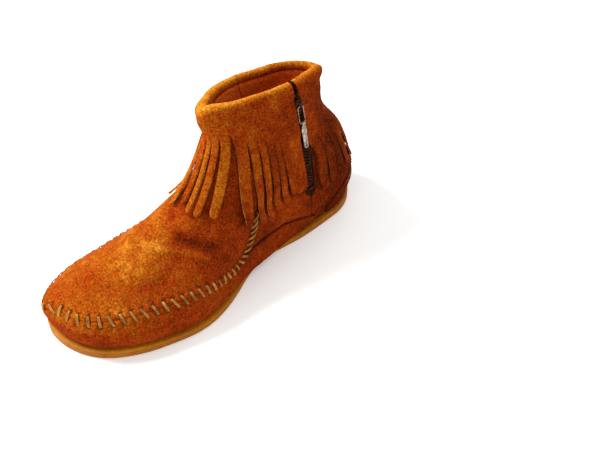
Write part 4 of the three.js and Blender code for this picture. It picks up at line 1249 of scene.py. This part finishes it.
def add_thong(hang, y, body, label):
    """A flat cord with a knot wound round its end."""
    thong = Shape()
    cord = smooth_path([[-1.6, y, 0], [-0.5, y, -3], [0, y, -8], [0, y, -13]], 20)
    tube(thong, hang(cord), 0.9, 8, flat=0.75)
    knot = [(1.05 * math.cos(a), y + 1.05 * math.sin(a), -12.3 + 0.12 * a) for a in np.linspace(0, 9, 30)]
    tube(thong, hang(knot), 0.5, 6)
    thong.build(f"thong_{label}_suede", f"thong_{label}", [thong_suede], "thong", body)


def add_bead(hang, y, body, label):
    """A bead turned from a profile of [radius, height]."""
    profile = [(1.2, -2.35), (1.5, -2.6), (2.2, -2.5), (2.95, -1.9), (3.35, -0.9), (3.42, 0)]
    profile = profile + [(r, -h) for r, h in reversed(profile[:-1])]
    x, side = np.cos(around(32)), -np.sin(around(32))
    rings = [np.stack([r * x, y + r * side, np.full(32, h - BEAD_DROP)], -1) for r, h in profile]
    bead = Shape()
    loft(bead, [hang(ring) for ring in rings])
    bead.build(f"bead_{label}_glass", f"bead_{label}", [bead_glass], "bead", body)


def add_feather(hang, y, side, body, label, rng):
    """A quill with separate barbs that fray towards the tip."""
    feather = Shape()
    quill = lambda t: np.array([2.5 * t * t, y + side * 1.5 * t, -FEATHER_DROP - FEATHER_LENGTH * t])
    tube(feather, hang([quill(t) for t in np.linspace(0, 0.97, 16)]), np.linspace(0.42, 0.12, 16), 6)
    for t in np.linspace(0.04, 0.96, BARBS):
        width = 0.9 + 3.4 * math.sin(math.pi * min(1, 0.12 + t * 0.86)) ** 0.8
        for edge in (-1, 1):
            reach = width * rng.uniform(0.78, 1.05)
            lift = rng.uniform(-0.25, 0.45)
            s = np.linspace(0, 1, 5)
            barb = np.stack([lift * s, edge * reach * s * (1 - 0.15 * s), -3.0 * s**1.3], -1)
            tube(feather, hang(quill(t) + barb), [0.3, 0.3, 0.26, 0.2, 0.08], 4, flat=0.5)
    feather.build(f"feather_{label}_vane", f"feather_{label}", [vane], "feather", body)


# ---- setting
def build_setting():
    floor = bpy.data.meshes.new("floor")
    floor.from_pydata([(-3, -3, 0), (3, -3, 0), (3, 3, 0), (-3, 3, 0)], [], [(0, 1, 2, 3)])
    glow = {"Emission_Color": (1, 0.99, 0.97, 1), "Emission_Strength": 0.22}
    matt = {"Roughness": 0.8, "Specular_IOR_Level": 0.1}
    floor.materials.append(Nodes("pale_floor").finish(Base_Color=(0.92, 0.92, 0.91, 1), **matt, **glow))
    add_object("floor", floor)
    world = bpy.data.worlds.new("studio")
    world.use_nodes = True
    sky = world.node_tree.nodes["Background"].inputs
    sky["Color"].default_value = (1, 1, 1, 1)
    sky["Strength"].default_value = 0.7
    bpy.context.scene.world = world
    lights = [
        ("key", (-0.95, -0.6, 1.2), 0.7, 40),
        ("fill", (0.2, -1.4, 1.2), 1.6, 4),
        ("back", (-0.4, 1.2, 1.3), 1.2, 6),
    ]
    for name, spot, size, power in lights:
        light = bpy.data.lights.new(name, "AREA")
        light.shape = "DISK"
        light.size = size
        light.energy = power
        lamp = add_object(name, light)
        lamp.location = spot
        lamp.rotation_euler = (Vector((0, 0, 0.05)) - Vector(spot)).to_track_quat("-Z", "Y").to_euler()
    bpy.context.scene.view_settings.view_transform = "Standard"


def build_camera():
    camera = bpy.data.cameras.new("camera")
    camera.lens = 56.72
    camera.sensor_width = 36
    camera.shift_y = -0.0074
    camera.clip_start = 0.01
    lookout = add_object("camera", camera)
    back = Vector((0.5201, -0.4654, 0.7162)).normalized()
    right = Vector((0.6668, 0.7452, 0)).normalized()
    up = back.cross(right)
    turn = Matrix((right, up, back)).transposed().to_4x4()
    lookout.matrix_world = Matrix.Translation((0.38595, -0.26341, 0.51055)) @ turn
    bpy.context.scene.camera = lookout


build_upper()
build_inside()
build_cuffs()
build_whip_stitch()
build_sewn_lines()
build_sole()
build_footbed()
build_heel_pad()
build_tapes()
build_teeth()
build_slider_and_pull()
build_ornament()
build_setting()
build_camera()
